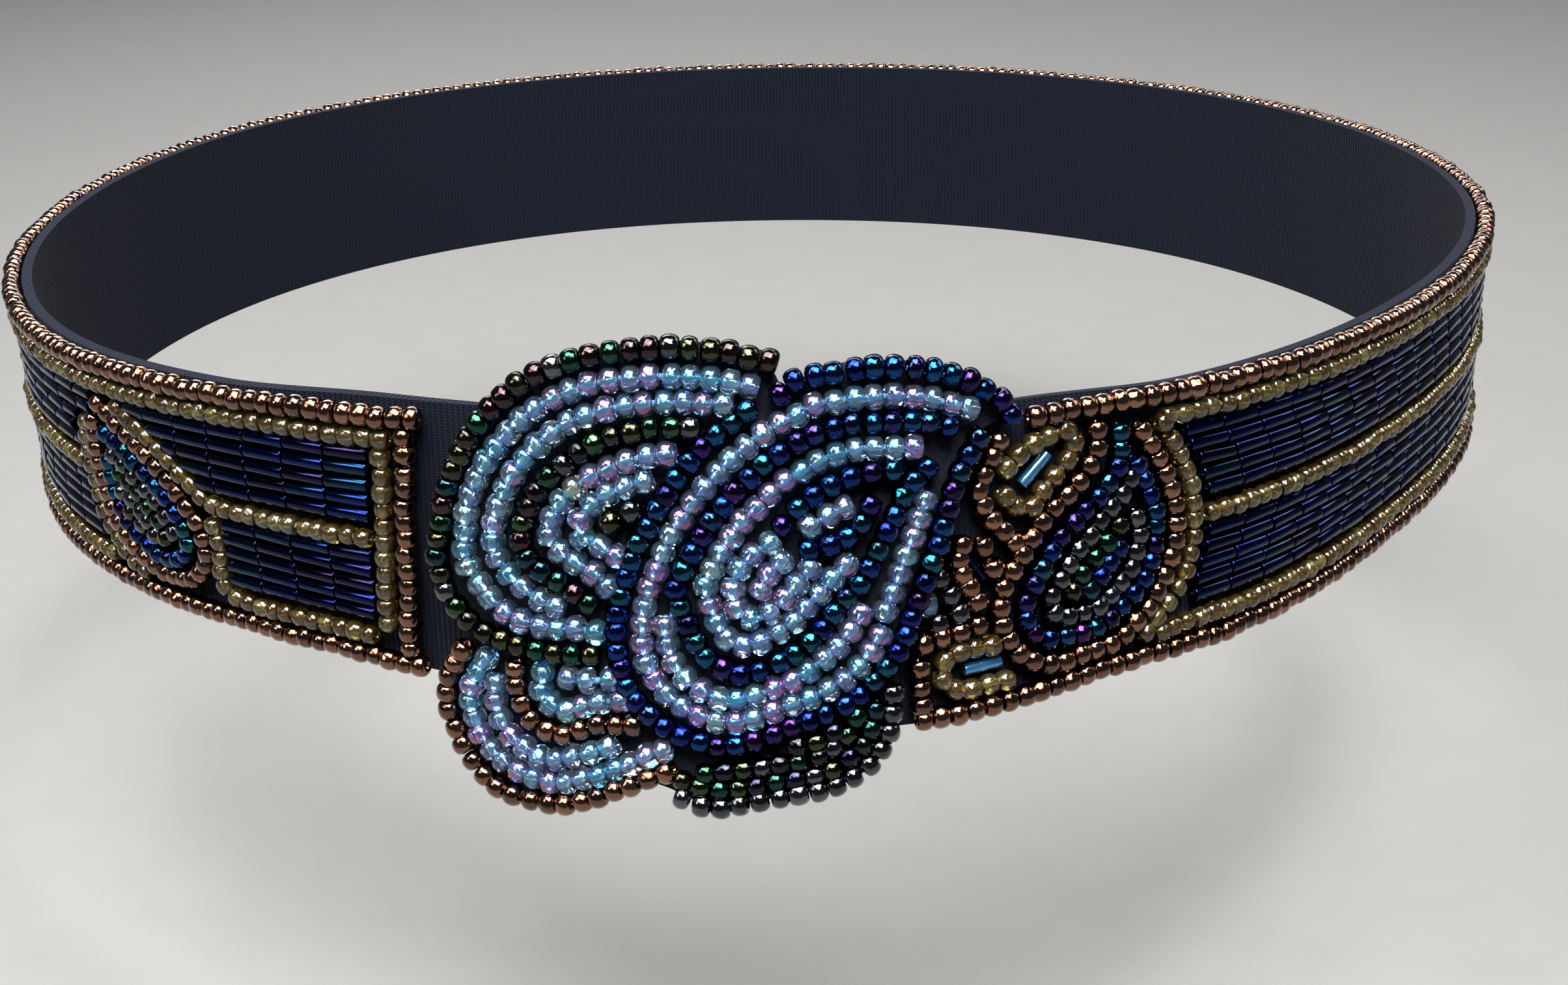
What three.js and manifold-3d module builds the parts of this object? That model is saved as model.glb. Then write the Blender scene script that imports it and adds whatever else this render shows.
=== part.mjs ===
// A beaded belt, fastened as it is worn: a fabric band beaded all round, with a beaded ornament over its
// closure.
// Millimetres, +Z up. The origin is the middle of the waist that the belt goes round, half way up the band.
import * as THREE from "three";
import { mergeVertices } from "three/addons/utils/BufferGeometryUtils.js";
import Module from "manifold-3d";

const wasm = await Module();
wasm.setup();

// Driving sizes
const waistWidth = 245.2;
const waistDepth = 206.4;
const beltHeight = 36.5;
const clearance = 0.3;
const fabricThickness = 1.5;
const fabricInset = 0.5;
const fabricFrontRise = 1;
const padThickness = 0.8;
const feltThickness = 1.2;
const stringWidth = 2.4;
const stringSpacing = 2.95;
const bugleWidth = 1.8;
const looseBugleWidth = 1.8;
const stringSides = 8;
const stringStep = 5.6;
const loopSteps = 52;
const padLength = 34;
const padHeight = 26;
const endDrop = 2.2;

// Places along the band, measured from the middle of the front, + to the wearer's left
const tongueEnd = 20;
const coveredEnd = -22;
const padMiddle = -1;
const liftFull = 22;
const liftStart = 56;
const frontHalf = 40;
const frontFade = 25;
const leftEndTop = -36.4;
const leftEndBottom = -38.4;
const amberColumnOffset = -3.2;
const bronzeTopStart = 41.4;
const bronzeBottomStart = 24.9;
const amberTopStart = 60.2;
const amberMiddleStart = 66.6;
const amberLowStart = 59.4;
const amberMiddleEnd = -100.4;
const amberLowEnd = -96.6;
const leftLeafTip = -90;
const leftLeafFoot = -83;
const leftLeafFar = -92;
const rightLeafMiddle = 59;

// Sizes that follow from the driving ones
const edgeHeight = (beltHeight - stringWidth - clearance) / 2;
const amberHeight = edgeHeight - stringSpacing;
const stringCentre = clearance + stringWidth / 2;
const feltTop = clearance + feltThickness;
const ornamentCentre = feltTop + stringCentre;
const fastenedLift = fabricThickness + padThickness + 2 * clearance;
const fabricHeight = beltHeight / 2 - fabricInset;

// The waist's form, a row for each 30 degrees from the back. reach is added to the oval's radius and is a
// share of it, rise is a share of the belt's height, and lean is the sine of the angle by which the top edge
// tips inwards.
const waistSections = [
  { angle: -180, reach: 0.02, rise: 0, lean: 0 },
  { angle: -150, reach: 0.02, rise: 0, lean: 0 },
  { angle: -120, reach: 0.005, rise: 0, lean: 0 },
  { angle: -90, reach: -0.02, rise: -0.014, lean: 0.05 },
  { angle: -60, reach: -0.02, rise: -0.027, lean: 0 },
  { angle: -30, reach: -0.015, rise: 0.041, lean: 0 },
  { angle: 0, reach: -0.005, rise: 0.014, lean: 0.25 },
  { angle: 30, reach: -0.02, rise: 0, lean: 0.2 },
  { angle: 60, reach: -0.06, rise: -0.027, lean: 0.05 },
  { angle: 90, reach: -0.01, rise: 0, lean: 0.05 },
  { angle: 120, reach: 0.02, rise: 0, lean: 0 },
  { angle: 150, reach: 0.025, rise: 0, lean: 0 },
];

// The routes of the strings of beads: points [along the band, up from its middle line], chosen one by one.
// Strings on the ornament lie on its felt base, those of the left panel and of the right panel on the band.
const stringRoutes = {
  petal_green_outer: { on: "ornament", bead: "iris_green", points: [[8.6, 25.9], [4, 26.9], [-3, 27.6],
    [-9, 27.1], [-15.5, 25.7], [-20, 23.3], [-24, 19.6], [-27, 15.4], [-29.4, 9.3], [-30.6, 3.5],
    [-30.8, -1.2], [-28.8, -5.2], [-25, -8.2], [-20.8, -9.3], [-16.5, -9.7], [-12.6, -9.6]] },
  petal_clear_outer: { on: "ornament", bead: "clear", points: [[6.4, 23], [-0.5, 24.1], [-7.5, 24.1],
    [-12.3, 23.2], [-17, 21.2], [-20.8, 18.3], [-23.7, 14.8], [-25.9, 10.7], [-27.1, 6.6], [-27.5, 2.4],
    [-26.2, -1.3], [-23.6, -4.3], [-20.8, -6.1], [-17, -6.6], [-12, -6.6]] },
  petal_clear_middle: { on: "ornament", bead: "clear", points: [[3.3, 21], [-3.5, 21.2], [-10.5, 20.3],
    [-15.9, 18], [-19.5, 14.6], [-22, 10.7], [-23.6, 6.4], [-23.9, 2.9], [-22.2, 0], [-19.4, -2.6],
    [-16.6, -3.8]] },
  petal_green_inner: { on: "ornament", bead: "iris_green", points: [[-0.7, 18.1], [-5, 18.3], [-9.5, 17.3],
    [-13.8, 15.2], [-17, 12.2], [-19.4, 8.8], [-20.6, 5], [-19.4, 1.6], [-15.9, -0.8], [-12.6, -3.2]] },
  petal_clear_inner: { on: "ornament", bead: "clear", points: [[-3.4, 15.2], [-8.5, 14.1], [-12.8, 11.9],
    [-15.8, 9], [-17.3, 5.9], [-16, 2.9], [-12.7, 1], [-10.4, -0.9]] },
  petal_clear_heart: { on: "ornament", bead: "clear", points: [[-6, 12], [-10.4, 10.2], [-13.2, 7.8],
    [-13.6, 5.4], [-11.4, 4.1], [-9.3, 2.7]] },
  petal_green_heart: { on: "ornament", bead: "iris_green", points: [[-7.7, 8.4], [-9.9, 7]] },
  low_bronze_outer: { on: "ornament", bead: "bronze", points: [[-28.3, -10.6], [-30.5, -15], [-30.5, -19.8],
    [-28, -25.6], [-24.6, -28.7], [-19.6, -29.7], [-14.8, -29], [-9.4, -26.6], [-4.2, -24.1]] },
  low_clear_outer: { on: "ornament", bead: "clear", points: [[-25.2, -11.4], [-27, -14.5], [-27.6, -18],
    [-26.2, -22.4], [-23, -25.4], [-18.4, -26.8], [-14, -25.9], [-9, -23.6], [-4.4, -21.2]] },
  low_clear_inner: { on: "ornament", bead: "clear", points: [[-24.4, -14.6], [-24.3, -18], [-22.6, -21.2],
    [-19.2, -23.8], [-15, -23.1], [-10.8, -21.3]] },
  low_bronze_inner: { on: "ornament", bead: "bronze", points: [[-21.6, -12.2], [-21.6, -15.4], [-20, -18.6],
    [-16.6, -20.3], [-12.4, -18.6], [-7.6, -18.3]] },
  low_clear_heart: { on: "ornament", bead: "clear", points: [[-18.4, -12.4], [-18.4, -15], [-16, -17.2],
    [-12.2, -15.7], [-9.4, -15.2]] },
  low_clear_end: { on: "ornament", bead: "clear", points: [[-15.4, -12.6], [-13, -13], [-10.6, -12.6]] },
  leaf_top: { on: "ornament", bead: "iris_blue", points: [[9.6, 21.9], [11.6, 23.4], [15, 24.2],
    [19.5, 24.6], [24.5, 24.5], [28.7, 23.7], [32.7, 22], [36, 19.6], [37.4, 17.6]] },
  leaf_blue_outer: { on: "ornament", bead: "iris_blue", points: [[5.9, 20.2], [2.6, 17.8], [-0.4, 14.8],
    [-2.9, 11.4], [-5.1, 7.8], [-7.1, 4], [-8.5, 0], [-9.5, -4.2], [-9.5, -8.6], [-8.8, -12.6],
    [-6.9, -15.9], [-3, -19], [2.6, -20.5], [8.2, -18.8], [14, -16.6], [18, -14.4], [21.2, -11],
    [23.4, -6.9], [25.1, -2.5], [27, 2], [28.4, 6], [29.6, 9.6], [31, 12.6], [33, 15.4]] },
  leaf_clear_outer: { on: "ornament", bead: "clear", points: [[32, 19], [26, 20.8], [20, 21.2],
    [14.2, 20.6], [9.8, 18.6], [6.4, 16.6], [3.2, 13.8], [0.4, 10.6], [-2.3, 6.6], [-4.5, 2.4],
    [-5.8, -1.5], [-6.6, -5.2], [-6.3, -9.1], [-4.8, -13.1], [-1.4, -16.2], [3.2, -17.5], [8.6, -16],
    [13.8, -13.9], [17.6, -11.1], [20.3, -7.4]] },
  leaf_clear_low: { on: "ornament", bead: "clear", points: [[-3.9, -5.6], [-3.6, -8.6], [-2.2, -11.6],
    [0.9, -14.1], [4.5, -14.7], [8.8, -13], [12.6, -10.9], [15.8, -8], [18.2, -4.7]] },
  leaf_clear_right: { on: "ornament", bead: "clear", points: [[26.2, 8.6], [25, 5.6], [23.6, 2.2],
    [22.2, -1.4], [20.9, -4.4]] },
  leaf_blue_ring: { on: "ornament", bead: "iris_blue", points: [[29.4, 17.2], [24, 18.1], [18, 18.2],
    [13.2, 17], [9.2, 15], [5.8, 12.4], [3.1, 9.4], [0.8, 6.2], [-1.3, 2.4], [-2.6, -1.2], [-1.3, -5.8],
    [0.7, -9.4], [4.5, -11.4], [9.2, -9.8], [12.9, -7.2], [15.4, -4], [18.1, -1], [20.1, 2.4],
    [21.8, 5.8], [23.6, 9.4], [26.6, 12.6]] },
  leaf_clear_inner: { on: "ornament", bead: "clear", points: [[25, 15], [18, 15.1], [13.5, 13.6],
    [10, 11.5], [6.8, 8.9], [3.8, 5.4], [1.6, 1.7], [0.7, -1.2], [1.7, -4.8], [3.9, -7.9], [7, -7.4],
    [10.4, -5.2], [13.6, -1.8], [16.7, 1.4]] },
  leaf_blue_upper: { on: "ornament", bead: "iris_blue", points: [[22.4, 12.3], [18.5, 12.1], [15, 10.9],
    [11.8, 8.9], [9.6, 6.6]] },
  leaf_clear_trio: { on: "ornament", bead: "clear", points: [[12.8, 6.2], [14.8, 7.4], [16.9, 8.4]] },
  leaf_blue_lower: { on: "ornament", bead: "iris_blue", points: [[19.8, 8.4], [18, 5.6], [15.5, 4.2],
    [12.6, 3.4]] },

  lattice_left: { on: "right", bead: "bronze", points: [[36, 14.4], [33.8, 10.8], [32.9, 8.2], [35, 4.6],
    [37.3, 1.7]] },
  lattice_middle: { on: "right", bead: "bronze", points: [[30.6, 2.6], [30, 0.2], [31.3, -2.9],
    [32.1, -4.9]] },
  lattice_low: { on: "right", bead: "bronze", points: [[25.4, -9.2], [28.2, -8.7], [32, -8]] },
  lattice_post: { on: "right", bead: "bronze", points: [[24.8, -12.4], [24.8, -17.2]] },
  lattice_short: { on: "right", bead: "bronze", points: [[33.4, 1.8], [34.4, -1]] },
  amber_ring_high: { on: "right", bead: "amber", points: [[36.8, 10.9], [39.3, 12.9], [43.2, 14.2],
    [46.1, 14], [45.4, 11], [42.3, 8.1], [39.1, 5.4], [36.5, 7.7]] },
  amber_ring_low: { on: "right", bead: "amber", points: [[33.8, -11], [29.9, -10.9], [27.8, -12],
    [27.8, -14.7], [30.2, -15.9], [35.2, -15.5]] },
  right_leaf_bronze: { on: "right", bead: "bronze", points: [[49.6, 13.9], [49.3, 11.3], [47, 8],
    [43.5, 5.5], [40.2, 2.4], [37.6, -1], [35.7, -4], [35, -6.8], [36, -10.4], [38.2, -13.2],
    [41.5, -14.7], [45.7, -14.4], [50.2, -13.8], [53.4, -12.3], [56.2, -9.9], [58.7, -6.2], [60.4, -2],
    [60.5, 2.5], [59.3, 6.7], [57.5, 10.2], [56.2, 12.8]] },
  right_leaf_amber: { on: "right", bead: "amber", points: [[60.6, 10.5], [62.2, 7.6], [63.4, 4.2],
    [63.5, 1], [63.4, -2.4], [62.2, -6], [60.6, -9]] },
  right_leaf_blue: { on: "right", bead: "iris_blue", points: [[52.8, 13.2], [52.9, 10.6], [51.3, 7.4],
    [48.5, 4.9], [45.3, 2.6], [42.3, -0.2], [40, -3.4], [38.4, -6.8], [38.9, -9.4], [40.9, -11.2],
    [44.4, -11.7], [48.4, -11.2], [51.6, -9.7], [54.2, -7.5], [56.3, -4.7], [57.4, -1], [57.4, 2.4],
    [56.4, 5.6], [55.1, 8.6]] },

  left_leaf_bronze: { on: "left", bead: "bronze", points: [[-90.4, 10.8], [-86.2, 8.6], [-81.8, 6.1],
    [-77.6, 3], [-74.2, -0.4], [-71.9, -4], [-71.6, -7.6], [-73.6, -11], [-77.4, -13], [-82, -13.2],
    [-86.9, -11.9], [-90.9, -9.3], [-93.4, -5.6], [-94.3, -1], [-94.1, 4], [-93.1, 7.6]] },
  left_leaf_blue: { on: "left", bead: "iris_blue", points: [[-90.2, 6.4], [-86.6, 5.2], [-83, 3.2],
    [-79.5, 0.6], [-76.7, -2.2], [-75, -5.2], [-76, -8.4], [-79, -10.2], [-83, -10.3], [-87, -8.5],
    [-90, -5.6], [-91.2, -2], [-91.1, 2]] },
  left_leaf_amber: { on: "left", bead: "amber", points: [[-96.4, 6.6], [-97.3, 2.4], [-97.3, -2.4],
    [-96.3, -6.8], [-93.9, -10.5], [-90.9, -12.9], [-87.6, -14.4]] },
  amber_middle_left: { on: "left", bead: "amber", points: [[-85.4, 11.2], [-81, 9], [-76.6, 6.2],
    [-72.8, 3.1], [-68.8, 0.4], [-64, 0], [-56, 0], [-49.5, 0], [-43.6, 0]] },
  amber_low_left: { on: "left", bead: "amber", points: [[-69, -2.9], [-68.5, -6.2], [-69, -9.4],
    [-68.8, -12.2], [-66, -13.8], [-60, -13.8], [-52, -13.8], [-44.4, -13.8]] },
};

const ornamentOutline = [[10, 22.6], [15, 24.7], [19.5, 25.2], [25, 25], [29, 24.2], [33.2, 22.4],
  [37.2, 19.6], [37.6, 17.8], [33.4, 16], [31.2, 12.8], [28.8, 6.2], [25.4, -2.6], [23.6, -7.2],
  [22.2, -10.8], [22.4, -14], [22.2, -19], [20.6, -22.6], [16, -26.2], [8, -27.8], [1, -29],
  [-5.2, -26.4], [-9.4, -27.2], [-14.8, -29.6], [-19.6, -30.3], [-25, -29.3], [-28.6, -25.9],
  [-31.1, -19.8], [-31.1, -14.8], [-28.9, -9.8], [-29.4, -5.4], [-31.4, -1.2], [-31.2, 3.7], [-30, 9.5],
  [-27.5, 15.8], [-24.4, 20.1], [-20.3, 23.8], [-15.7, 26.2], [-9, 27.7], [-3, 28.2], [4, 27.5],
  [8.8, 26.4]];
const darkFieldOutline = [[-3.4, -22.5], [2.6, -22.4], [8.7, -20.6], [14.8, -18.4], [19.1, -16],
  [21.2, -13.4], [22.5, -13], [22.5, -18.6], [21, -22.4], [19, -24.8], [16, -26.6], [12, -27.6],
  [8.2, -28.2], [4.4, -28.8], [1, -29.6], [-4, -28], [-3.8, -25.4]];
const clearCoreOutline = [[8.2, 4.6], [5.8, 3.6], [3.6, 0.6], [2.8, -1.4], [3.6, -4.2], [5.2, -6],
  [7, -5.6], [9.2, -4.2], [12, -1.2], [13.6, 0.8], [12.2, 1.6], [9.6, 1.9]];
const darkClusterOutline = [[27.2, -0.6], [28.3, -1.2], [29.4, -4.4], [30.3, -6.6], [29.6, -7.3],
  [26.6, -7.5], [25.9, -4.6]];
const looseBugles = {
  loose_bugle_high: [[38.9, 8.5], [42.7, 11.9]],
  loose_bugle_low: [[30.2, -13.5], [34.9, -13.1]],
};

const materials = {
  navy_fabric: new THREE.MeshStandardMaterial({ color: 0x12161f, roughness: 0.95 }),
  black_felt: new THREE.MeshStandardMaterial({ color: 0x0b0c10, roughness: 1 }),
  bronze: new THREE.MeshStandardMaterial({ color: 0x6b4630, roughness: 0.25, metalness: 0.9 }),
  amber: new THREE.MeshStandardMaterial({ color: 0x6e4f24, roughness: 0.15 }),
  bugle: new THREE.MeshStandardMaterial({ color: 0x10163c, roughness: 0.2, metalness: 0.4 }),
  pale_bugle: new THREE.MeshStandardMaterial({ color: 0x4f8fd0, roughness: 0.2, metalness: 0.3 }),
  iris_green: new THREE.MeshStandardMaterial({ color: 0x1d2420, roughness: 0.2, metalness: 0.6 }),
  iris_blue: new THREE.MeshStandardMaterial({ color: 0x101a52, roughness: 0.2, metalness: 0.6 }),
  clear: new THREE.MeshStandardMaterial({ color: 0xb4c8dc, roughness: 0.08 }),
  hematite: new THREE.MeshStandardMaterial({ color: 0x24262c, roughness: 0.2, metalness: 0.8 }),
};

// The value of one column of the sections' table at an angle, on a smooth curve through the rows
function sectionValue(column, degrees) {
  const rowAngle = 360 / waistSections.length;
  const position = (degrees - waistSections[0].angle) / rowAngle;
  const row = Math.floor(position);
  const t = position - row;
  const count = waistSections.length;
  const [a, b, c, d] = [-1, 0, 1, 2].map((k) => waistSections[(((row + k) % count) + count) % count][column]);
  return b + 0.5 * t * (c - a + t * (2 * a - 5 * b + 4 * c - d + t * (3 * (b - c) + d - a)));
}

// The band's outer face along its middle line, measured from the middle of the front
function measureLoop() {
  const count = 1440;
  const points = [];
  for (let i = 0; i <= count; i += 1) {
    const degrees = -180 + (360 * i) / count;
    const angle = THREE.MathUtils.degToRad(degrees);
    const oval = 1 / Math.hypot(Math.sin(angle) / (waistWidth / 2), Math.cos(angle) / (waistDepth / 2));
    const radius = oval * (1 + sectionValue("reach", degrees));
    points.push({
      x: radius * Math.sin(angle),
      y: -radius * Math.cos(angle),
      rise: sectionValue("rise", degrees) * beltHeight,
      lean: sectionValue("lean", degrees),
    });
  }
  points.forEach((point, i) => {
    const before = points[i === 0 ? count - 1 : i - 1];
    const after = points[i === count ? 1 : i + 1];
    const length = Math.hypot(after.x - before.x, after.y - before.y);
    point.outX = (after.y - before.y) / length;
    point.outY = -(after.x - before.x) / length;
    const last = points[i - 1];
    point.along = i === 0 ? 0 : last.along + Math.hypot(point.x - last.x, point.y - last.y);
  });
  const front = points[count / 2].along;
  const length = points[count].along;
  return { points, front, length };
}

const loop = measureLoop();
const loopLength = loop.length;

function loopAt(along) {
  const { points, front } = loop;
  const wanted = THREE.MathUtils.euclideanModulo(along + front, loopLength);
  let low = 0;
  let high = points.length - 1;
  while (high - low > 1) {
    const middle = (low + high) >> 1;
    if (points[middle].along <= wanted) low = middle;
    else high = middle;
  }
  const share = (wanted - points[low].along) / (points[high].along - points[low].along);
  const mix = (name) => THREE.MathUtils.lerp(points[low][name], points[high][name], share);
  return {
    x: mix("x"),
    y: mix("y"),
    outX: mix("outX"),
    outY: mix("outY"),
    rise: mix("rise"),
    lean: mix("lean"),
  };
}

// How far the fastened end of the band stands off what it lies over
function lift(along) {
  return fastenedLift * THREE.MathUtils.smoothstep(liftStart - along, 0, liftStart - liftFull);
}

// A point of the belt from its place along the band, up from the middle line, and out from its outer face
function place(along, up, out, lifted = true) {
  const at = loopAt(along);
  const outwards = out + (lifted ? lift(along) : 0);
  const length = Math.hypot(at.outX, at.outY);
  const upright = Math.sqrt(1 - at.lean * at.lean);
  const flat = (outwards * upright - up * at.lean) / length;
  return new THREE.Vector3(
    at.x + at.outX * flat,
    at.y + at.outY * flat,
    at.rise + upright * up + at.lean * outwards,
  );
}

// The right end of the bottom edge hangs a little lower
function edgeDrop(along) {
  return endDrop * THREE.MathUtils.smoothstep(liftStart - along, 0, liftStart - liftFull);
}

// The fabric's top edge stands a little higher along the front
function frontRise(along) {
  const toFront = Math.abs(along - loopLength * Math.round(along / loopLength));
  return fabricFrontRise * THREE.MathUtils.smoothstep(frontHalf + frontFade - toFront, 0, frontFade);
}

function loopStations(from, to) {
  const step = loopLength / loopSteps;
  const stations = [from];
  for (let k = Math.floor(from / step) + 1; k * step < to; k += 1) {
    if (k * step - from > step / 4 && to - k * step > step / 4) stations.push(k * step);
  }
  stations.push(to);
  return stations;
}

// A closed solid through rings of points, each ring a convex outline with the same number of corners. Where
// four corners don't lie flat, the diagonal that bulges less is taken, so that nested solids keep their
// clearance.
function loft(rings) {
  const corners = rings[0].length;
  const flatRings = rings.flat();
  const vertices = flatRings.flatMap((point) => point.toArray());
  const faces = [];
  const bulge = (a, b, c, d) => {
    const [ab, ac, ad] = [b, c, d].map((corner) => flatRings[corner].clone().sub(flatRings[a]));
    return ab.dot(ac.cross(ad));
  };
  for (let i = 0; i + 1 < rings.length; i += 1) {
    for (let j = 0; j < corners; j += 1) {
      const a = i * corners + j;
      const b = i * corners + ((j + 1) % corners);
      const [c, d] = [b + corners, a + corners];
      if (bulge(a, b, c, d) > 0) faces.push(a, b, c, a, c, d);
      else faces.push(a, b, d, b, c, d);
    }
  }
  const last = (rings.length - 1) * corners;
  for (let j = 1; j + 1 < corners; j += 1) {
    faces.push(0, j + 1, j, last, last + j, last + j + 1);
  }
  const geometry = new THREE.BufferGeometry();
  geometry.setAttribute("position", new THREE.Float32BufferAttribute(vertices, 3));
  geometry.setIndex(faces);
  return geometry;
}

// A strip of the band between two heights and two distances out from its face
function strip(stations, heights, outs, lifted = true) {
  const rings = stations.map((along) => {
    const [low, high] = heights(along);
    return [
      place(along, low, outs[0], lifted),
      place(along, high, outs[0], lifted),
      place(along, high, outs[1], lifted),
      place(along, low, outs[1], lifted),
    ];
  });
  return loft(rings);
}

// A path that passes through its stations one after another
class StationPath extends THREE.Curve {
  constructor(stations) {
    super();
    this.stations = stations;
  }
  getPoint(t, target = new THREE.Vector3()) {
    const position = THREE.MathUtils.clamp(t, 0, 1) * (this.stations.length - 1);
    const i = Math.min(Math.floor(position + 1e-9), this.stations.length - 2);
    return target.lerpVectors(this.stations[i], this.stations[i + 1], position - i);
  }
  getPointAt(u, target) {
    return this.getPoint(u, target);
  }
  getTangentAt(u, target = new THREE.Vector3()) {
    const half = 0.5 / (this.stations.length - 1);
    return target.copy(this.getPoint(u + half)).sub(this.getPoint(u - half)).normalize();
  }
}

// A string of beads as a tube of the beads' mean width
function tube(stations, width = stringWidth) {
  const corners = [];
  for (let i = 0; i < stringSides; i += 1) {
    const angle = (2 * Math.PI * (i + 0.5)) / stringSides;
    corners.push(new THREE.Vector2(Math.cos(angle) * (width / 2), Math.sin(angle) * (width / 2)));
  }
  const geometry = new THREE.ExtrudeGeometry(new THREE.Shape(corners), {
    steps: stations.length - 1,
    extrudePath: new StationPath(stations),
    bevelEnabled: false,
  });
  geometry.deleteAttribute("normal");
  geometry.deleteAttribute("uv");
  return mergeVertices(geometry, 1e-4);
}

// The space that a string needs, with a clearance round it and past its ends
function spaceOf(stations) {
  const [first, last] = [stations[0], stations.at(-1)];
  const past = (end, inner) => end.clone().add(end.clone().sub(inner).setLength(clearance));
  const longer = [past(first, stations[1]), ...stations.slice(1, -1), past(last, stations.at(-2))];
  return tube(longer, stringWidth + 2 * clearance);
}

function routeStations(points, out, lifted, step = stringStep) {
  const corners = points.map(([along, up]) => new THREE.Vector3(along, up, 0));
  const flat = new THREE.CatmullRomCurve3(corners, false);
  const count = Math.max(1, Math.ceil(flat.getLength() / step));
  return flat.getSpacedPoints(count).map((point) => place(point.x, point.y, out, lifted));
}

function routeOf(name) {
  const { on, points } = stringRoutes[name];
  return routeStations(points, on === "ornament" ? ornamentCentre : stringCentre, on !== "left");
}

// Solids that need a cut
function toSolid(geometry) {
  const position = geometry.getAttribute("position");
  const index = geometry.getIndex();
  return new wasm.Manifold(new wasm.Mesh({
    numProp: 3,
    vertProperties: new Float32Array(position.array),
    triVerts: new Uint32Array(index.array),
  }));
}

function toGeometry(solid) {
  const mesh = solid.getMesh();
  const geometry = new THREE.BufferGeometry();
  geometry.setAttribute("position", new THREE.Float32BufferAttribute(mesh.vertProperties, 3));
  geometry.setIndex([...mesh.triVerts]);
  return geometry;
}

// What is left of a solid beside the strings that run through it, with a clearance to each
function trimmed(geometry, strings, plates = []) {
  let solid = toSolid(geometry);
  for (const stations of strings) {
    solid = solid.subtract(toSolid(spaceOf(stations)));
  }
  for (const cutter of plates) {
    solid = solid.subtract(toSolid(cutter));
  }
  const parts = solid.decompose().sort((a, b) => b.volume() - a.volume());
  return toGeometry(parts[0]);
}

// A plate that follows the band's face and has the given outline
function plate(outline, outs, lifted = true) {
  const alongs = outline.map(([along]) => along);
  const ups = outline.map(([, up]) => up);
  const [start, end] = [Math.min(...alongs) - 1, Math.max(...alongs) + 1];
  const [low, high] = [Math.min(...ups) - 1, Math.max(...ups) + 1];
  const sheet = strip(loopStations(start, end), () => [low, high], outs, lifted);
  const middle = (start + end) / 2;
  const centre = place(middle, 0, outs[0], lifted);
  const outwards = place(middle, 0, outs[0] + 1, lifted).sub(centre).normalize();
  const upwards = place(middle, 1, outs[0], lifted).sub(centre).normalize();
  const sideways = new THREE.Vector3().crossVectors(upwards, outwards).normalize();
  const corners = outline.map(([along, up]) => {
    const point = place(along, up, (outs[0] + outs[1]) / 2, lifted).sub(centre);
    return new THREE.Vector2(point.dot(sideways), point.dot(upwards));
  });
  const depth = waistDepth / 4;
  const prism = new THREE.ExtrudeGeometry(new THREE.Shape(corners), { depth, bevelEnabled: false });
  prism.deleteAttribute("normal");
  prism.deleteAttribute("uv");
  prism.translate(0, 0, -depth / 2);
  prism.applyMatrix4(new THREE.Matrix4().makeBasis(sideways, upwards, outwards).setPosition(centre));
  return toGeometry(toSolid(sheet).intersect(toSolid(mergeVertices(prism, 1e-4))));
}

// What a ring of beads surrounds, with a clearance to it
function insideOf(name, outs, lifted) {
  return trimmed(plate(stringRoutes[name].points, outs, lifted), [routeOf(name)]);
}

const belt = new THREE.Group();

function add(name, geometry, material) {
  geometry.computeVertexNormals();
  const mesh = new THREE.Mesh(geometry, materials[material]);
  mesh.name = name;
  belt.add(mesh);
}

// The fabric band runs from its covered right end, round the back, to the tongue behind the ornament
function addBacking() {
  const stations = loopStations(coveredEnd, loopLength + tongueEnd);
  const heights = (along) => [-fabricHeight - edgeDrop(along), fabricHeight + frontRise(along)];
  add("backing_band", strip(stations, heights, [-fabricThickness, 0]), "navy_fabric");
  const pad = loopStations(padMiddle - padLength / 2, padMiddle + padLength / 2);
  const padOuts = [clearance, clearance + padThickness];
  add("closure_pad", strip(pad, () => [-padHeight / 2, padHeight / 2], padOuts, false), "black_felt");
  add("ornament_base", plate(ornamentOutline, [clearance, feltTop]), "black_felt");
}

const bottomEdge = (along) => -edgeHeight - edgeDrop(along);

// A string that runs the long way round the back
function loopString(from, to, height) {
  return loopStations(from, loopLength + to).map((along) => place(along, height(along), stringCentre));
}

const loopStrings = {
  bronze_top: loopString(bronzeTopStart, leftEndTop + stringWidth / 2, () => edgeHeight),
  bronze_bottom: loopString(bronzeBottomStart, leftEndBottom + stringWidth / 2, bottomEdge),
  amber_top: loopString(amberTopStart, leftEndTop + amberColumnOffset, () => amberHeight),
  amber_middle: loopString(amberMiddleStart, amberMiddleEnd, () => 0),
  amber_low: loopString(amberLowStart, amberLowEnd, () => -amberHeight),
};

const columnStations = (shift, height) => [height, 0, -height].map((up) => {
  const along = THREE.MathUtils.lerp(leftEndBottom, leftEndTop, (up + edgeHeight) / (2 * edgeHeight));
  return place(along + shift, up, stringCentre, false);
});
const endColumns = {
  bronze_end_column: columnStations(0, edgeHeight - stringSpacing),
  amber_end_column: columnStations(amberColumnOffset, amberHeight - stringSpacing),
};

function addStrings() {
  for (const [name, stations] of Object.entries(loopStrings)) {
    add(name, tube(stations), name.startsWith("bronze") ? "bronze" : "amber");
  }
  for (const [name, stations] of Object.entries(endColumns)) {
    add(name, tube(stations), name.startsWith("bronze") ? "bronze" : "amber");
  }
  for (const [name, { bead }] of Object.entries(stringRoutes)) {
    add(name, tube(routeOf(name)), bead);
  }
  for (const [name, points] of Object.entries(looseBugles)) {
    const out = clearance + looseBugleWidth / 2;
    add(name, tube(routeStations(points, out, true, loopLength), looseBugleWidth), "pale_bugle");
  }
}

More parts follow.
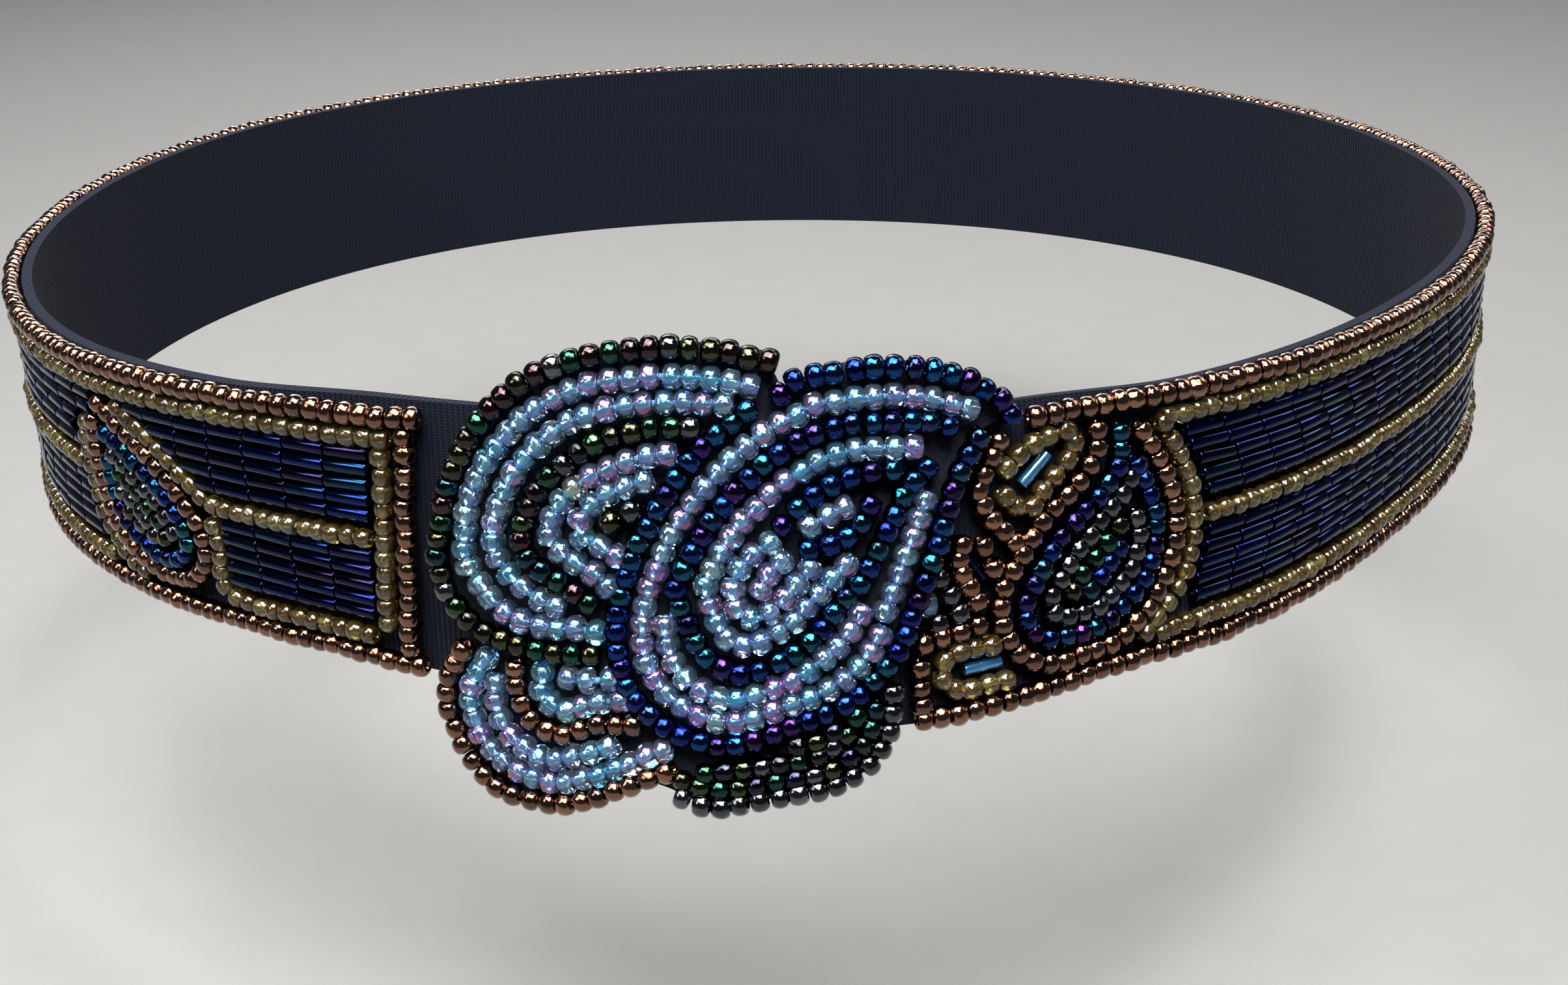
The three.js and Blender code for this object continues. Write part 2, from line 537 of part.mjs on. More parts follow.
// Rows of bugle beads lie in solid fields between the amber strings
function addFields() {
  const high = [stringWidth / 2 + clearance, amberHeight - stringWidth / 2 - clearance];
  const low = [-high[1], -high[0]];
  const outs = [clearance, clearance + bugleWidth];
  const leafOuts = [0, clearance + bugleWidth + clearance];
  const routesOf = (...names) => names.map(routeOf);
  const leaves = [
    plate(stringRoutes.left_leaf_bronze.points, leafOuts, false),
    plate(stringRoutes.right_leaf_bronze.points, leafOuts),
  ];
  const frontStrings = [
    ...routesOf("left_leaf_bronze", "amber_middle_left", "amber_low_left"),
    columnStations(amberColumnOffset, edgeHeight),
  ];
  const backStrings = routesOf(
    "left_leaf_bronze", "left_leaf_amber", "right_leaf_bronze", "right_leaf_amber");
  const field = (from, to, heights, strings) =>
    trimmed(strip(loopStations(from, to), () => heights, outs), strings, leaves);
  const backTo = loopLength + leftLeafFar;
  const frontEnd = loopLength + leftEndTop;
  add("bugles_high_front", field(loopLength + leftLeafTip, frontEnd, high, frontStrings), "bugle");
  add("bugles_low_front", field(loopLength + leftLeafFoot, frontEnd, low, frontStrings), "bugle");
  add("bugles_high_back", field(rightLeafMiddle, backTo, high, backStrings), "bugle");
  add("bugles_low_back", field(rightLeafMiddle, backTo, low, backStrings), "bugle");
}

// Patches of beads sewn close together, each one solid
function addPatches() {
  const onFelt = [feltTop + clearance, feltTop + clearance + stringWidth];
  const onBand = [clearance, clearance + stringWidth];
  const near = (...names) => names.map(routeOf);
  add("dark_field", trimmed(plate(darkFieldOutline, onFelt),
    near("leaf_blue_outer", "low_bronze_outer", "low_clear_outer")), "hematite");
  add("leaf_clear_core", trimmed(plate(clearCoreOutline, onFelt),
    near("leaf_clear_inner", "leaf_blue_upper", "leaf_clear_trio", "leaf_blue_lower")), "clear");
  add("right_leaf_core", insideOf("right_leaf_blue", onBand, true), "hematite");
  add("left_leaf_core", insideOf("left_leaf_blue", onBand, false), "hematite");
  add("dark_cluster", trimmed(plate(darkClusterOutline, onBand),
    near("lattice_middle", "lattice_low", "leaf_blue_outer")), "hematite");
}

addBacking();
addStrings();
addFields();
addPatches();

export default belt;
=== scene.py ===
"""A beaded belt, fastened as it is worn, with a beaded ornament over its closure."""
import math

import bpy
import numpy as np
from mathutils import Matrix


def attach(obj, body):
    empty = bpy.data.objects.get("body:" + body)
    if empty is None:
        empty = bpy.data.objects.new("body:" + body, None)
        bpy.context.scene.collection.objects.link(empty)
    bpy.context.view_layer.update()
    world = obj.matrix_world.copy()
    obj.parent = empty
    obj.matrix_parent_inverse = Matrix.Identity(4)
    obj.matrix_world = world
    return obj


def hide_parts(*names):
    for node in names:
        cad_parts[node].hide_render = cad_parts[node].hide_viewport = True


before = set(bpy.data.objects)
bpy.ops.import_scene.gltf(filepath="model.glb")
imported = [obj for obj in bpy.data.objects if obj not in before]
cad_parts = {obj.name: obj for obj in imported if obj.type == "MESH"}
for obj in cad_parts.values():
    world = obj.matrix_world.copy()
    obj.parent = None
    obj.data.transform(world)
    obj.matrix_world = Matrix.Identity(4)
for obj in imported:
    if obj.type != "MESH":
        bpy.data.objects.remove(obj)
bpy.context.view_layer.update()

MM = 0.001
rng = np.random.default_rng(8)

# Sizes in millimetres
WAIST_WIDTH = 245.2
WAIST_DEPTH = 206.4
BELT_HEIGHT = 36.5
CLEARANCE = 0.3
FABRIC_THICKNESS = 1.5
FELT_THICKNESS = 1.2
PAD_THICKNESS = 0.8
FABRIC_HEIGHT = BELT_HEIGHT / 2 - 0.5
FABRIC_FRONT_RISE = 1.0
END_DROP = 2.2
BEAD = 2.95
BEAD_PITCH = 2.3
BEAD_HOLE = 1.0
THREAD = 0.8
BUGLE = 2.0
BUGLE_LENGTH = 6.0
BUGLE_PITCH = 6.2
BUGLE_HOLE = 0.9
LOOSE_BUGLE = 1.6
THIN_BUGLE = 1.3

# Places along the band, measured from the middle of the front, + to the wearer's left
TONGUE_END = 20
COVERED_END = -22
PAD_SPAN = (-18, 16)
PAD_HEIGHT = 26
LIFT_FULL = 22
LIFT_START = 56
FRONT_HALF = 40
FRONT_FADE = 25
LEFT_END_TOP = -36.4
LEFT_END_BOTTOM = -38.4
COLUMN_STEP = 3.2
COLUMN_OVERLAP = 1.2
LEFT_LEAF_FOOT = -67.2

EDGE_HEIGHT = 16.85
AMBER_HEIGHT = 13.9
FELT_TOP = CLEARANCE + FELT_THICKNESS
FASTENED_LIFT = FABRIC_THICKNESS + PAD_THICKNESS + 2 * CLEARANCE
# How far out the beads' middles are on the band and on the felt
ON_BAND = CLEARANCE + 1.25
ON_FELT = FELT_TOP + 1.5

# Gaps left before the end column, past the right leaf and past the left leaf's long string
COLUMN_GAP = 1.6
RIGHT_LEAF_GAP = 2.0
LEFT_LEAF_GAP = 2.2

# How unevenly beads are sewn: places in millimetres, tips in radians
BEAD_SCATTER = 0.08
BEAD_TIP = 0.08
ROW_SCATTER = 0.05
BUGLE_TIP = 0.012

# How finely forms are divided
LOOP_STATIONS = 1441
ROUTE_STEPS = 12
STRING_STATIONS = 400
BAND_STATIONS = 520
PAD_STATIONS = 20

# The strings that run the long way round the back: finish, start, end, height, and whether the height
# follows the drop of the bottom edge
LOOPS = {
    "bronze_top": ("bronze", 41.4, LEFT_END_TOP + COLUMN_OVERLAP, EDGE_HEIGHT, False),
    "bronze_bottom": ("bronze", 24.9, LEFT_END_BOTTOM + COLUMN_OVERLAP, -EDGE_HEIGHT, True),
    "amber_top": ("amber", 60.2, LEFT_END_TOP - COLUMN_STEP, AMBER_HEIGHT, False),
    "amber_middle": ("amber", 66.6, -100.4, 0, False),
    "amber_low": ("amber", 59.4, -96.6, -AMBER_HEIGHT, False),
}
# The columns that close the left end: finish, how far from it they stand, how far up and down they reach
COLUMNS = {
    "bronze_end_column": ("bronze", 0, EDGE_HEIGHT - 2.4),
    "amber_end_column": ("amber", -COLUMN_STEP, AMBER_HEIGHT - 2.6),
}
# The rows of bugles from the top down: height, and where the left leaf's strings end them
HIGH_ROWS = [(11.6, -92.4), (9.5, -93.6), (7.4, -98.5), (5.3, -98.5), (3.2, -98.5)]
LOW_ROWS = [(-2.4, -98.6), (-4.5, -98.6), (-6.5, -98.6), (-8.6, -96.4), (-10.6, -96.4)]

# The waist's form, a row for each 30 degrees from the back: (angle, reach, rise, lean)
WAIST_SECTIONS = np.array([
    (-180, 0.02, 0, 0), (-150, 0.02, 0, 0), (-120, 0.005, 0, 0), (-90, -0.02, -0.014, 0.05),
    (-60, -0.02, -0.027, 0), (-30, -0.015, 0.041, 0), (0, -0.005, 0.014, 0.25), (30, -0.02, 0, 0.2),
    (60, -0.06, -0.027, 0.05), (90, -0.01, 0, 0.05), (120, 0.02, 0, 0), (150, 0.025, 0, 0),
])

# Strings of beads: finish, what they lie on, and listed points (along the band, up from its middle)
STRINGS = {
    "petal_green_outer": ("green_iris", "ornament", [
        (8.6, 25.9), (4, 26.9), (-3, 27.6), (-9, 27.1), (-15.5, 25.7), (-20, 23.3), (-24, 19.6),
        (-27, 15.4), (-29.4, 9.3), (-30.6, 3.5), (-30.8, -1.2), (-28.8, -5.2), (-25, -8.2),
        (-20.8, -9.3), (-16.5, -9.7), (-12.6, -9.6)]),
    "petal_clear_outer": ("clear", "ornament", [
        (6.4, 23), (-0.5, 24.1), (-7.5, 24.1), (-12.3, 23.2), (-17, 21.2), (-20.8, 18.3), (-23.7, 14.8),
        (-25.9, 10.7), (-27.1, 6.6), (-27.5, 2.4), (-26.2, -1.3), (-23.6, -4.3), (-20.8, -6.1),
        (-17, -6.6), (-12, -6.6)]),
    "petal_clear_middle": ("clear", "ornament", [
        (3.3, 21), (-3.5, 21.2), (-10.5, 20.3), (-15.9, 18), (-19.5, 14.6), (-22, 10.7), (-23.6, 6.4),
        (-23.9, 2.9), (-22.2, 0), (-19.4, -2.6), (-16.6, -3.8)]),
    "petal_green_inner": ("green_iris", "ornament", [
        (-0.7, 18.1), (-5, 18.3), (-9.5, 17.3), (-13.8, 15.2), (-17, 12.2), (-19.4, 8.8), (-20.6, 5),
        (-19.4, 1.6), (-15.9, -0.8), (-12.6, -3.2)]),
    "petal_clear_inner": ("clear", "ornament", [
        (-3.4, 15.2), (-8.5, 14.1), (-12.8, 11.9), (-15.8, 9), (-17.3, 5.9), (-16, 2.9), (-12.7, 1),
        (-10.4, -0.9)]),
    "petal_clear_heart": ("clear", "ornament", [
        (-6, 12), (-10.4, 10.2), (-13.2, 7.8), (-13.6, 5.4), (-11.4, 4.1), (-9.3, 2.7)]),
    "petal_green_heart": ("green_iris", "ornament", [(-7.7, 8.4), (-9.9, 7)]),
    "low_bronze_outer": ("bronze", "ornament", [
        (-28.3, -10.6), (-30.5, -15), (-30.5, -19.8), (-28, -25.6), (-24.6, -28.7), (-19.6, -29.7),
        (-14.8, -29), (-9.4, -26.6), (-4.2, -24.1)]),
    "low_clear_outer": ("clear", "ornament", [
        (-25.2, -11.4), (-27, -14.5), (-27.6, -18), (-26.2, -22.4), (-23, -25.4), (-18.4, -26.8),
        (-14, -25.9), (-9, -23.6), (-4.4, -21.2)]),
    "low_clear_inner": ("clear", "ornament", [
        (-24.4, -14.6), (-24.3, -18), (-22.6, -21.2), (-19.2, -23.8), (-15, -23.1), (-10.8, -21.3)]),
    "low_bronze_inner": ("bronze", "ornament", [
        (-21.6, -12.2), (-21.6, -15.4), (-20, -18.6), (-16.6, -20.3), (-12.4, -18.6), (-7.6, -18.3)]),
    "low_clear_heart": ("clear", "ornament", [
        (-18.4, -12.4), (-18.4, -15), (-16, -17.2), (-12.2, -15.7), (-9.4, -15.2)]),
    "low_clear_end": ("clear", "ornament", [(-15.4, -12.6), (-13, -13), (-10.6, -12.6)]),
    "leaf_top": ("blue_iris", "ornament", [
        (9.6, 21.9), (11.6, 23.4), (15, 24.2), (19.5, 24.6), (24.5, 24.5), (28.7, 23.7), (32.7, 22),
        (36, 19.6), (37.4, 17.6)]),
    "leaf_blue_outer": ("blue_iris", "ornament", [
        (5.9, 20.2), (2.6, 17.8), (-0.4, 14.8), (-2.9, 11.4), (-5.1, 7.8), (-7.1, 4), (-8.5, 0),
        (-9.5, -4.2), (-9.5, -8.6), (-8.8, -12.6), (-6.9, -15.9), (-3, -19), (2.6, -20.5), (8.2, -18.8),
        (14, -16.6), (18, -14.4), (21.2, -11), (23.4, -6.9), (25.1, -2.5), (27, 2), (28.4, 6),
        (29.6, 9.6), (31, 12.6), (33, 15.4)]),
    "leaf_clear_outer": ("clear", "ornament", [
        (32, 19), (26, 20.8), (20, 21.2), (14.2, 20.6), (9.8, 18.6), (6.4, 16.6), (3.2, 13.8),
        (0.4, 10.6), (-2.3, 6.6), (-4.5, 2.4), (-5.8, -1.5), (-6.6, -5.2), (-6.3, -9.1), (-4.8, -13.1),
        (-1.4, -16.2), (3.2, -17.5), (8.6, -16), (13.8, -13.9), (17.6, -11.1), (20.3, -7.4)]),
    "leaf_clear_low": ("clear", "ornament", [
        (-3.9, -5.6), (-3.6, -8.6), (-2.2, -11.6), (0.9, -14.1), (4.5, -14.7), (8.8, -13), (12.6, -10.9),
        (15.8, -8), (18.2, -4.7)]),
    "leaf_clear_right": ("clear", "ornament", [
        (26.2, 8.6), (25, 5.6), (23.6, 2.2), (22.2, -1.4), (20.9, -4.4)]),
    "leaf_blue_ring": ("blue_iris", "ornament", [
        (29.4, 17.2), (24, 18.1), (18, 18.2), (13.2, 17), (9.2, 15), (5.8, 12.4), (3.1, 9.4), (0.8, 6.2),
        (-1.3, 2.4), (-2.6, -1.2), (-1.3, -5.8), (0.7, -9.4), (4.5, -11.4), (9.2, -9.8), (12.9, -7.2),
        (15.4, -4), (18.1, -1), (20.1, 2.4), (21.8, 5.8), (23.6, 9.4), (26.6, 12.6)]),
    "leaf_clear_inner": ("clear", "ornament", [
        (25, 15), (18, 15.1), (13.5, 13.6), (10, 11.5), (6.8, 8.9), (3.8, 5.4), (1.6, 1.7), (0.7, -1.2),
        (1.7, -4.8), (3.9, -7.9), (7, -7.4), (10.4, -5.2), (13.6, -1.8), (16.7, 1.4)]),
    "leaf_blue_upper": ("blue_iris", "ornament", [
        (22.4, 12.3), (18.5, 12.1), (15, 10.9), (11.8, 8.9), (9.6, 6.6)]),
    "leaf_clear_trio": ("clear", "ornament", [(12.8, 6.2), (14.8, 7.4), (16.9, 8.4)]),
    "leaf_blue_lower": ("blue_iris", "ornament", [(19.8, 8.4), (18, 5.6), (15.5, 4.2), (12.6, 3.4)]),
    "lattice_left": ("bronze", "right", [
        (36, 14.4), (33.8, 10.8), (32.9, 8.2), (35, 4.6), (37.3, 1.7)]),
    "lattice_middle": ("bronze", "right", [(30.6, 2.6), (30, 0.2), (31.3, -2.9), (32.1, -4.9)]),
    "lattice_low": ("bronze", "right", [(25.4, -9.2), (28.2, -8.7), (32, -8)]),
    "lattice_post": ("bronze", "right", [(24.8, -12.4), (24.8, -17.2)]),
    "lattice_short": ("bronze", "right", [(33.4, 1.8), (34.4, -1)]),
    "amber_ring_high": ("amber", "right", [
        (36.8, 10.9), (39.3, 12.9), (43.2, 14.2), (46.1, 14), (45.4, 11), (42.3, 8.1), (39.1, 5.4),
        (36.5, 7.7)]),
    "amber_ring_low": ("amber", "right", [
        (33.8, -11), (29.9, -10.9), (27.8, -12), (27.8, -14.7), (30.2, -15.9), (35.2, -15.5)]),
    "right_leaf_bronze": ("bronze", "right", [
        (49.6, 13.9), (49.3, 11.3), (47, 8), (43.5, 5.5), (40.2, 2.4), (37.6, -1), (35.7, -4),
        (35, -6.8), (36, -10.4), (38.2, -13.2), (41.5, -14.7), (45.7, -14.4), (50.2, -13.8),
        (53.4, -12.3), (56.2, -9.9), (58.7, -6.2), (60.4, -2), (60.5, 2.5), (59.3, 6.7), (57.5, 10.2),
        (56.2, 12.8)]),
    "right_leaf_amber": ("amber", "right", [
        (60.6, 10.5), (62.2, 7.6), (63.4, 4.2), (63.5, 1), (63.4, -2.4), (62.2, -6), (60.6, -9)]),
    "right_leaf_blue": ("blue_iris", "right", [
        (52.8, 13.2), (52.9, 10.6), (51.3, 7.4), (48.5, 4.9), (45.3, 2.6), (42.3, -0.2), (40, -3.4),
        (38.4, -6.8), (38.9, -9.4), (40.9, -11.2), (44.4, -11.7), (48.4, -11.2), (51.6, -9.7),
        (54.2, -7.5), (56.3, -4.7), (57.4, -1), (57.4, 2.4), (56.4, 5.6), (55.1, 8.6)]),
    "left_leaf_bronze": ("bronze", "left", [
        (-90.4, 10.8), (-86.2, 8.6), (-81.8, 6.1), (-77.6, 3), (-74.2, -0.4), (-71.9, -4), (-71.6, -7.6),
        (-73.6, -11), (-77.4, -13), (-82, -13.2), (-86.9, -11.9), (-90.9, -9.3), (-93.4, -5.6),
        (-94.3, -1), (-94.1, 4), (-93.1, 7.6)]),
    "left_leaf_blue": ("blue_iris", "left", [
        (-90.2, 6.4), (-86.6, 5.2), (-83, 3.2), (-79.5, 0.6), (-76.7, -2.2), (-75, -5.2), (-76, -8.4),
        (-79, -10.2), (-83, -10.3), (-87, -8.5), (-90, -5.6), (-91.2, -2), (-91.1, 2)]),
    "left_leaf_amber": ("amber", "left", [
        (-96.4, 6.6), (-97.3, 2.4), (-97.3, -2.4), (-96.3, -6.8), (-93.9, -10.5), (-90.9, -12.9),
        (-87.6, -14.4)]),
    "amber_middle_left": ("amber", "left", [
        (-85.4, 11.2), (-81, 9), (-76.6, 6.2), (-72.8, 3.1), (-68.8, 0.4), (-64, 0), (-56, 0),
        (-49.5, 0), (-43.6, 0)]),
    "amber_low_left": ("amber", "left", [
        (-69, -2.9), (-68.5, -6.2), (-69, -9.4), (-68.8, -12.2), (-66, -13.8), (-60, -13.8),
        (-52, -13.8), (-44.4, -13.8)]),
}

# Patches of beads sewn close together: what they lie on, and rows of (finish, points)
PATCHES = {
    "dark_field": ("ornament", [
        ("hematite", [
            (-2.4, -27.4), (1, -28.3), (4.4, -27.7), (8.2, -27.1), (12, -26.5), (15.6, -25.4),
            (18, -23.7), (19.9, -21.4), (21.1, -18.4), (21.3, -14.8)]),
        ("dark_iris", [
            (-2.4, -25), (1, -26.1), (4.6, -25.6), (8.3, -25), (11.8, -24.4), (14.9, -23.4), (17, -21.8),
            (18.6, -19.4), (19.2, -16.6)]),
        ("dark_iris", [
            (0.2, -24), (4.4, -23.5), (8.2, -22.9), (11.4, -22.3), (14.2, -21.3), (16, -19.8),
            (17.2, -17.6)]),
        ("dark_iris", [(10.4, -20.6), (12.6, -20.1), (14.6, -19.2)]),
    ]),
    "leaf_clear_core": ("ornament", [
        ("clear", [
            (8.1, 4.4), (5.4, 2.4), (3.8, -0.8), (4.6, -4.2), (6.8, -4.6), (9, -3), (11.4, -0.2),
            (12.6, 1.2)]),
        ("clear", [(9.4, 2.2), (7.9, 0.6), (6.9, -1.4)]),
    ]),
    "dark_cluster": ("right", [
        ("hematite", [(27.7, -1.4), (28.8, -3.6), (29.9, -6)]),
        ("clear", [(26.2, -4.6)]),
        ("hematite", [(27.3, -6.9)]),
    ]),
    "right_leaf_core": ("right", [
        ("hematite", [
            (54.1, 7), (53, 5.2), (50.6, 3.4), (48, 0.8), (44.6, -2.3), (42, -6), (42.4, -8.4),
            (45.2, -9.2), (48.2, -8.8), (50.6, -7.6), (52.6, -5.8), (54.2, -3.4), (54.8, -0.8),
            (54.7, 1.8)]),
        ("green_iris", [(52, 1), (49.6, -1.2), (47, -3.4), (44.9, -5.9)]),
        ("blue_iris", [(51.9, -1.8), (50, -3.8), (47.4, -6.2)]),
    ]),
    "left_leaf_core": ("left", [
        ("hematite", [
            (-88.8, 3.4), (-86.2, 2.4), (-83.4, 0.6), (-80.8, -1.6), (-78.6, -3.8), (-77.9, -6)]),
        ("green_iris", [(-88.6, 0.8), (-86.2, -0.4), (-83.6, -2.2), (-81, -4.4), (-80, -7)]),
        ("hematite", [(-88.6, -2), (-86.2, -3.2), (-83.8, -5), (-82.4, -7.4)]),
        ("green_iris", [(-87.6, -4.8), (-85.4, -6.4)]),
    ]),
}
# Beads that finish a turn past the end of a string's own route
TURNS = {
    "right_leaf_amber": [[(59.4, 13.0)], [(58.8, -10.8), (57, -12.4), (55.2, -13.9)]],
    "amber_low": [[(57.6, -14.4)]],
}
LOOSE_BUGLES = {
    "loose_bugle_high": [(38.9, 8.5), (42.7, 11.9)],
    "loose_bugle_low": [(30.2, -13.5), (34.9, -13.1)],
}
# Thin dark bugles sewn beside a string
THIN_BUGLES = {"lattice_short": [[(31.5, 0.8), (33.4, -2.4)]]}
ORNAMENT_OUTLINE = [
    (10, 22.6), (15, 24.7), (19.5, 25.2), (25, 25), (29, 24.2), (33.2, 22.4), (37.2, 19.6), (37.6, 17.8),
    (33.4, 16), (31.2, 12.8), (28.8, 6.2), (25.4, -2.6), (23.6, -7.2), (22.2, -10.8), (22.4, -14),
    (22.2, -19), (20.6, -22.6), (16, -26.2), (8, -27.8), (1, -29), (-5.2, -26.4), (-9.4, -27.2),
    (-14.8, -29.6), (-19.6, -30.3), (-25, -29.3), (-28.6, -25.9), (-31.1, -19.8), (-31.1, -14.8),
    (-28.9, -9.8), (-29.4, -5.4), (-31.4, -1.2), (-31.2, 3.7), (-30, 9.5), (-27.5, 15.8), (-24.4, 20.1),
    (-20.3, 23.8), (-15.7, 26.2), (-9, 27.7), (-3, 28.2), (4, 27.5), (8.8, 26.4),
]


def section_value(column, degrees):
    """The value of one column of the sections' table at an angle, on a smooth curve through the rows."""
    count = len(WAIST_SECTIONS)
    position = (degrees + 180) * count / 360
    row = np.floor(position).astype(int)
    t = position - row
    a, b, c, d = (WAIST_SECTIONS[(row + k) % count, column] for k in (-1, 0, 1, 2))
    return b + 0.5 * t * (c - a + t * (2 * a - 5 * b + 4 * c - d + t * (3 * (b - c) + d - a)))


def measure_loop():
    """The band's outer face along its middle line: lengths, and columns of place, way out, rise and lean."""
    degrees = np.linspace(-180, 180, LOOP_STATIONS)
    angle = np.radians(degrees)
    oval = 1 / np.hypot(np.sin(angle) / (WAIST_WIDTH / 2), np.cos(angle) / (WAIST_DEPTH / 2))
    radius = oval * (1 + section_value(1, degrees))
    x, y = radius * np.sin(angle), -radius * np.cos(angle)
    closed_x, closed_y = np.r_[x[-2], x, x[1]], np.r_[y[-2], y, y[1]]
    dx, dy = closed_x[2:] - closed_x[:-2], closed_y[2:] - closed_y[:-2]
    length = np.hypot(dx, dy)
    along = np.r_[0, np.cumsum(np.hypot(np.diff(x), np.diff(y)))]
    along -= np.interp(0, degrees, along)
    rise, lean = section_value(2, degrees) * BELT_HEIGHT, section_value(3, degrees)
    return along, (x, y, dy / length, -dx / length, rise, lean)


LOOP, LOOP_COLUMNS = measure_loop()
LOOP_LENGTH = LOOP[-1] - LOOP[0]


def smooth_step(value, width):
    t = np.clip(value / width, 0, 1)
    return t * t * (3 - 2 * t)


def lift(along):
    """How far the fastened end of the band stands off what it lies over."""
    return FASTENED_LIFT * smooth_step(LIFT_START - along, LIFT_START - LIFT_FULL)


def edge_drop(along):
    """How much lower the right end of the bottom edge hangs."""
    return END_DROP * smooth_step(LIFT_START - along, LIFT_START - LIFT_FULL)


def place(along, up, out, lifted=True):
    """Points of the belt, in metres, from their places along the band, up, and out from its outer face."""
    along, up, out = (np.asarray(value, float) for value in np.broadcast_arrays(along, up, out))
    wrapped = (along - LOOP[0]) % LOOP_LENGTH + LOOP[0]
    x, y, out_x, out_y, rise, lean = (np.interp(wrapped, LOOP, column) for column in LOOP_COLUMNS)
    length = np.hypot(out_x, out_y)
    upright = np.sqrt(1 - lean ** 2)
    reach = out + lift(along) if lifted else out
    flat = (reach * upright - up * lean) / length
    return np.stack([x + out_x * flat, y + out_y * flat, rise + upright * up + lean * reach], -1) * MM


def smooth_route(points, closed=False):
    """A fine polyline on a smooth curve through given points."""
    points = np.array(points, float)
    if len(points) < 3:
        return points
    before = points[-1] if closed else 2 * points[0] - points[1]
    after = points[0] if closed else 2 * points[-1] - points[-2]
    padded = np.vstack([before, points, after])
    t = np.linspace(0, 1, ROUTE_STEPS, endpoint=False)[:, None]
    pieces = []
    for a, b, c, d in zip(padded[:-3], padded[1:-2], padded[2:-1], padded[3:]):
        pieces.append(b + 0.5 * t * (c - a + t * (2 * a - 5 * b + 4 * c - d + t * (3 * (b - c) + d - a))))
    return np.vstack(pieces + [points[-1:]])


def spaced(route, pitch, out, lifted):
    """Places along a route, a pitch apart in space."""
    track = place(route[:, 0], route[:, 1], out, lifted) / MM
    length = np.r_[0, np.cumsum(np.linalg.norm(np.diff(track, axis=0), axis=1))]
    count = max(1, int(round(length[-1] / pitch)))
    wanted = np.linspace(0, length[-1], count + 1)
    return np.stack([np.interp(wanted, length, route[:, k]) for k in (0, 1)], -1)


def unit(vectors):
    return vectors / np.linalg.norm(vectors, axis=-1, keepdims=True)


def frames_at(spots, out, lifted, ahead=None):
    """Centres and axes (along the string, across it, outwards) of beads at spots on one string."""
    nudge = 0.05
    if ahead is None:
        ahead = np.gradient(spots, axis=0) if len(spots) > 1 else np.array([[1.0, 0.0]])
    centres = place(spots[:, 0], spots[:, 1], out, lifted)
    step = nudge * ahead / np.linalg.norm(ahead, axis=1, keepdims=True)
    along = unit(place(spots[:, 0] + step[:, 0], spots[:, 1] + step[:, 1], out, lifted) - centres)
    outwards = unit(place(spots[:, 0], spots[:, 1], out + 1, lifted) - centres)
    across = unit(np.cross(outwards, along))
    return centres, np.stack([along, across, np.cross(along, across)], -1)


def jittered(axes, amount):
    """Axes tipped a little at random."""
    tips = rng.normal(0, amount, (len(axes), 3))
    turn = np.zeros((len(axes), 3, 3))
    turn[:, [0, 1, 2], [0, 1, 2]] = 1
    turn[:, [2, 0, 1], [1, 2, 0]] += tips
    turn[:, [1, 2, 0], [2, 0, 1]] -= tips
    tipped = np.einsum("nij,njk->nik", turn, axes)
    first = unit(tipped[..., 0])
    second = unit(np.cross(tipped[..., 2], first))
    return np.stack([first, second, np.cross(first, second)], -1)


def grid_faces(rows, columns, closed=False):
    """Quads between rows of points, each row a ring. A closed form's last row joins its first."""
    i, j = np.meshgrid(np.arange(rows if closed else rows - 1), np.arange(columns), indexing="ij")
    row, next_row, beside = i * columns, (i + 1) % rows * columns, (j + 1) % columns
    return np.stack([row + j, row + beside, next_row + beside, next_row + j], -1).reshape(-1, 4)


def ring_form(profile, segments):
    """A closed form turned round the X axis from a closed profile of (x, radius)."""
    profile = np.asarray(profile)
    angle = np.linspace(0, 2 * np.pi, segments, endpoint=False)[:, None]
    x = np.broadcast_to(profile[:, 0], (segments, len(profile)))
    points = np.stack([x, profile[:, 1] * np.cos(angle), profile[:, 1] * np.sin(angle)], -1)
    return points.reshape(-1, 3), grid_faces(segments, len(profile), closed=True)


def bead_form(segments=14):
    """A round seed bead with its hole, its axis along X, of width 1 and length 1."""
    crown, hole, inner = 0.23, BEAD_HOLE / BEAD / 2, 0.42
    turn = np.radians([90, 64, 38, 13, -13, -38, -64, -90])
    outer = np.stack([0.5 * np.sin(turn), 0.5 - crown + crown * np.cos(turn)], -1)
    return ring_form(np.vstack([outer, [(-inner, hole), (inner, hole)]]), segments)


def bugle_form(segments=11):
    """A bugle bead with its hole, its axis along X, of width 1 and length 1."""
    half = [(0.5, BUGLE_HOLE / BUGLE / 2), (0.5, 0.44), (0.492, 0.49), (0.47, 0.5)]
    return ring_form(half + [(-x, radius) for x, radius in half[::-1]], segments)


BEAD_FORM = bead_form()
BUGLE_FORM = bugle_form()


def copies(form, centres, axes, lengths, widths):
    """Copies of a form as one set of points and faces."""
    points, quads = form
    scaled = points[None] * np.stack([lengths, widths, widths], -1)[:, None, :] * MM
    placed = centres[:, None, :] + np.einsum("nij,nkj->nki", axes, scaled)
    faces = quads[None] + (np.arange(len(centres)) * len(points))[:, None, None]
    return placed.reshape(-1, 3), faces.reshape(-1, 4)


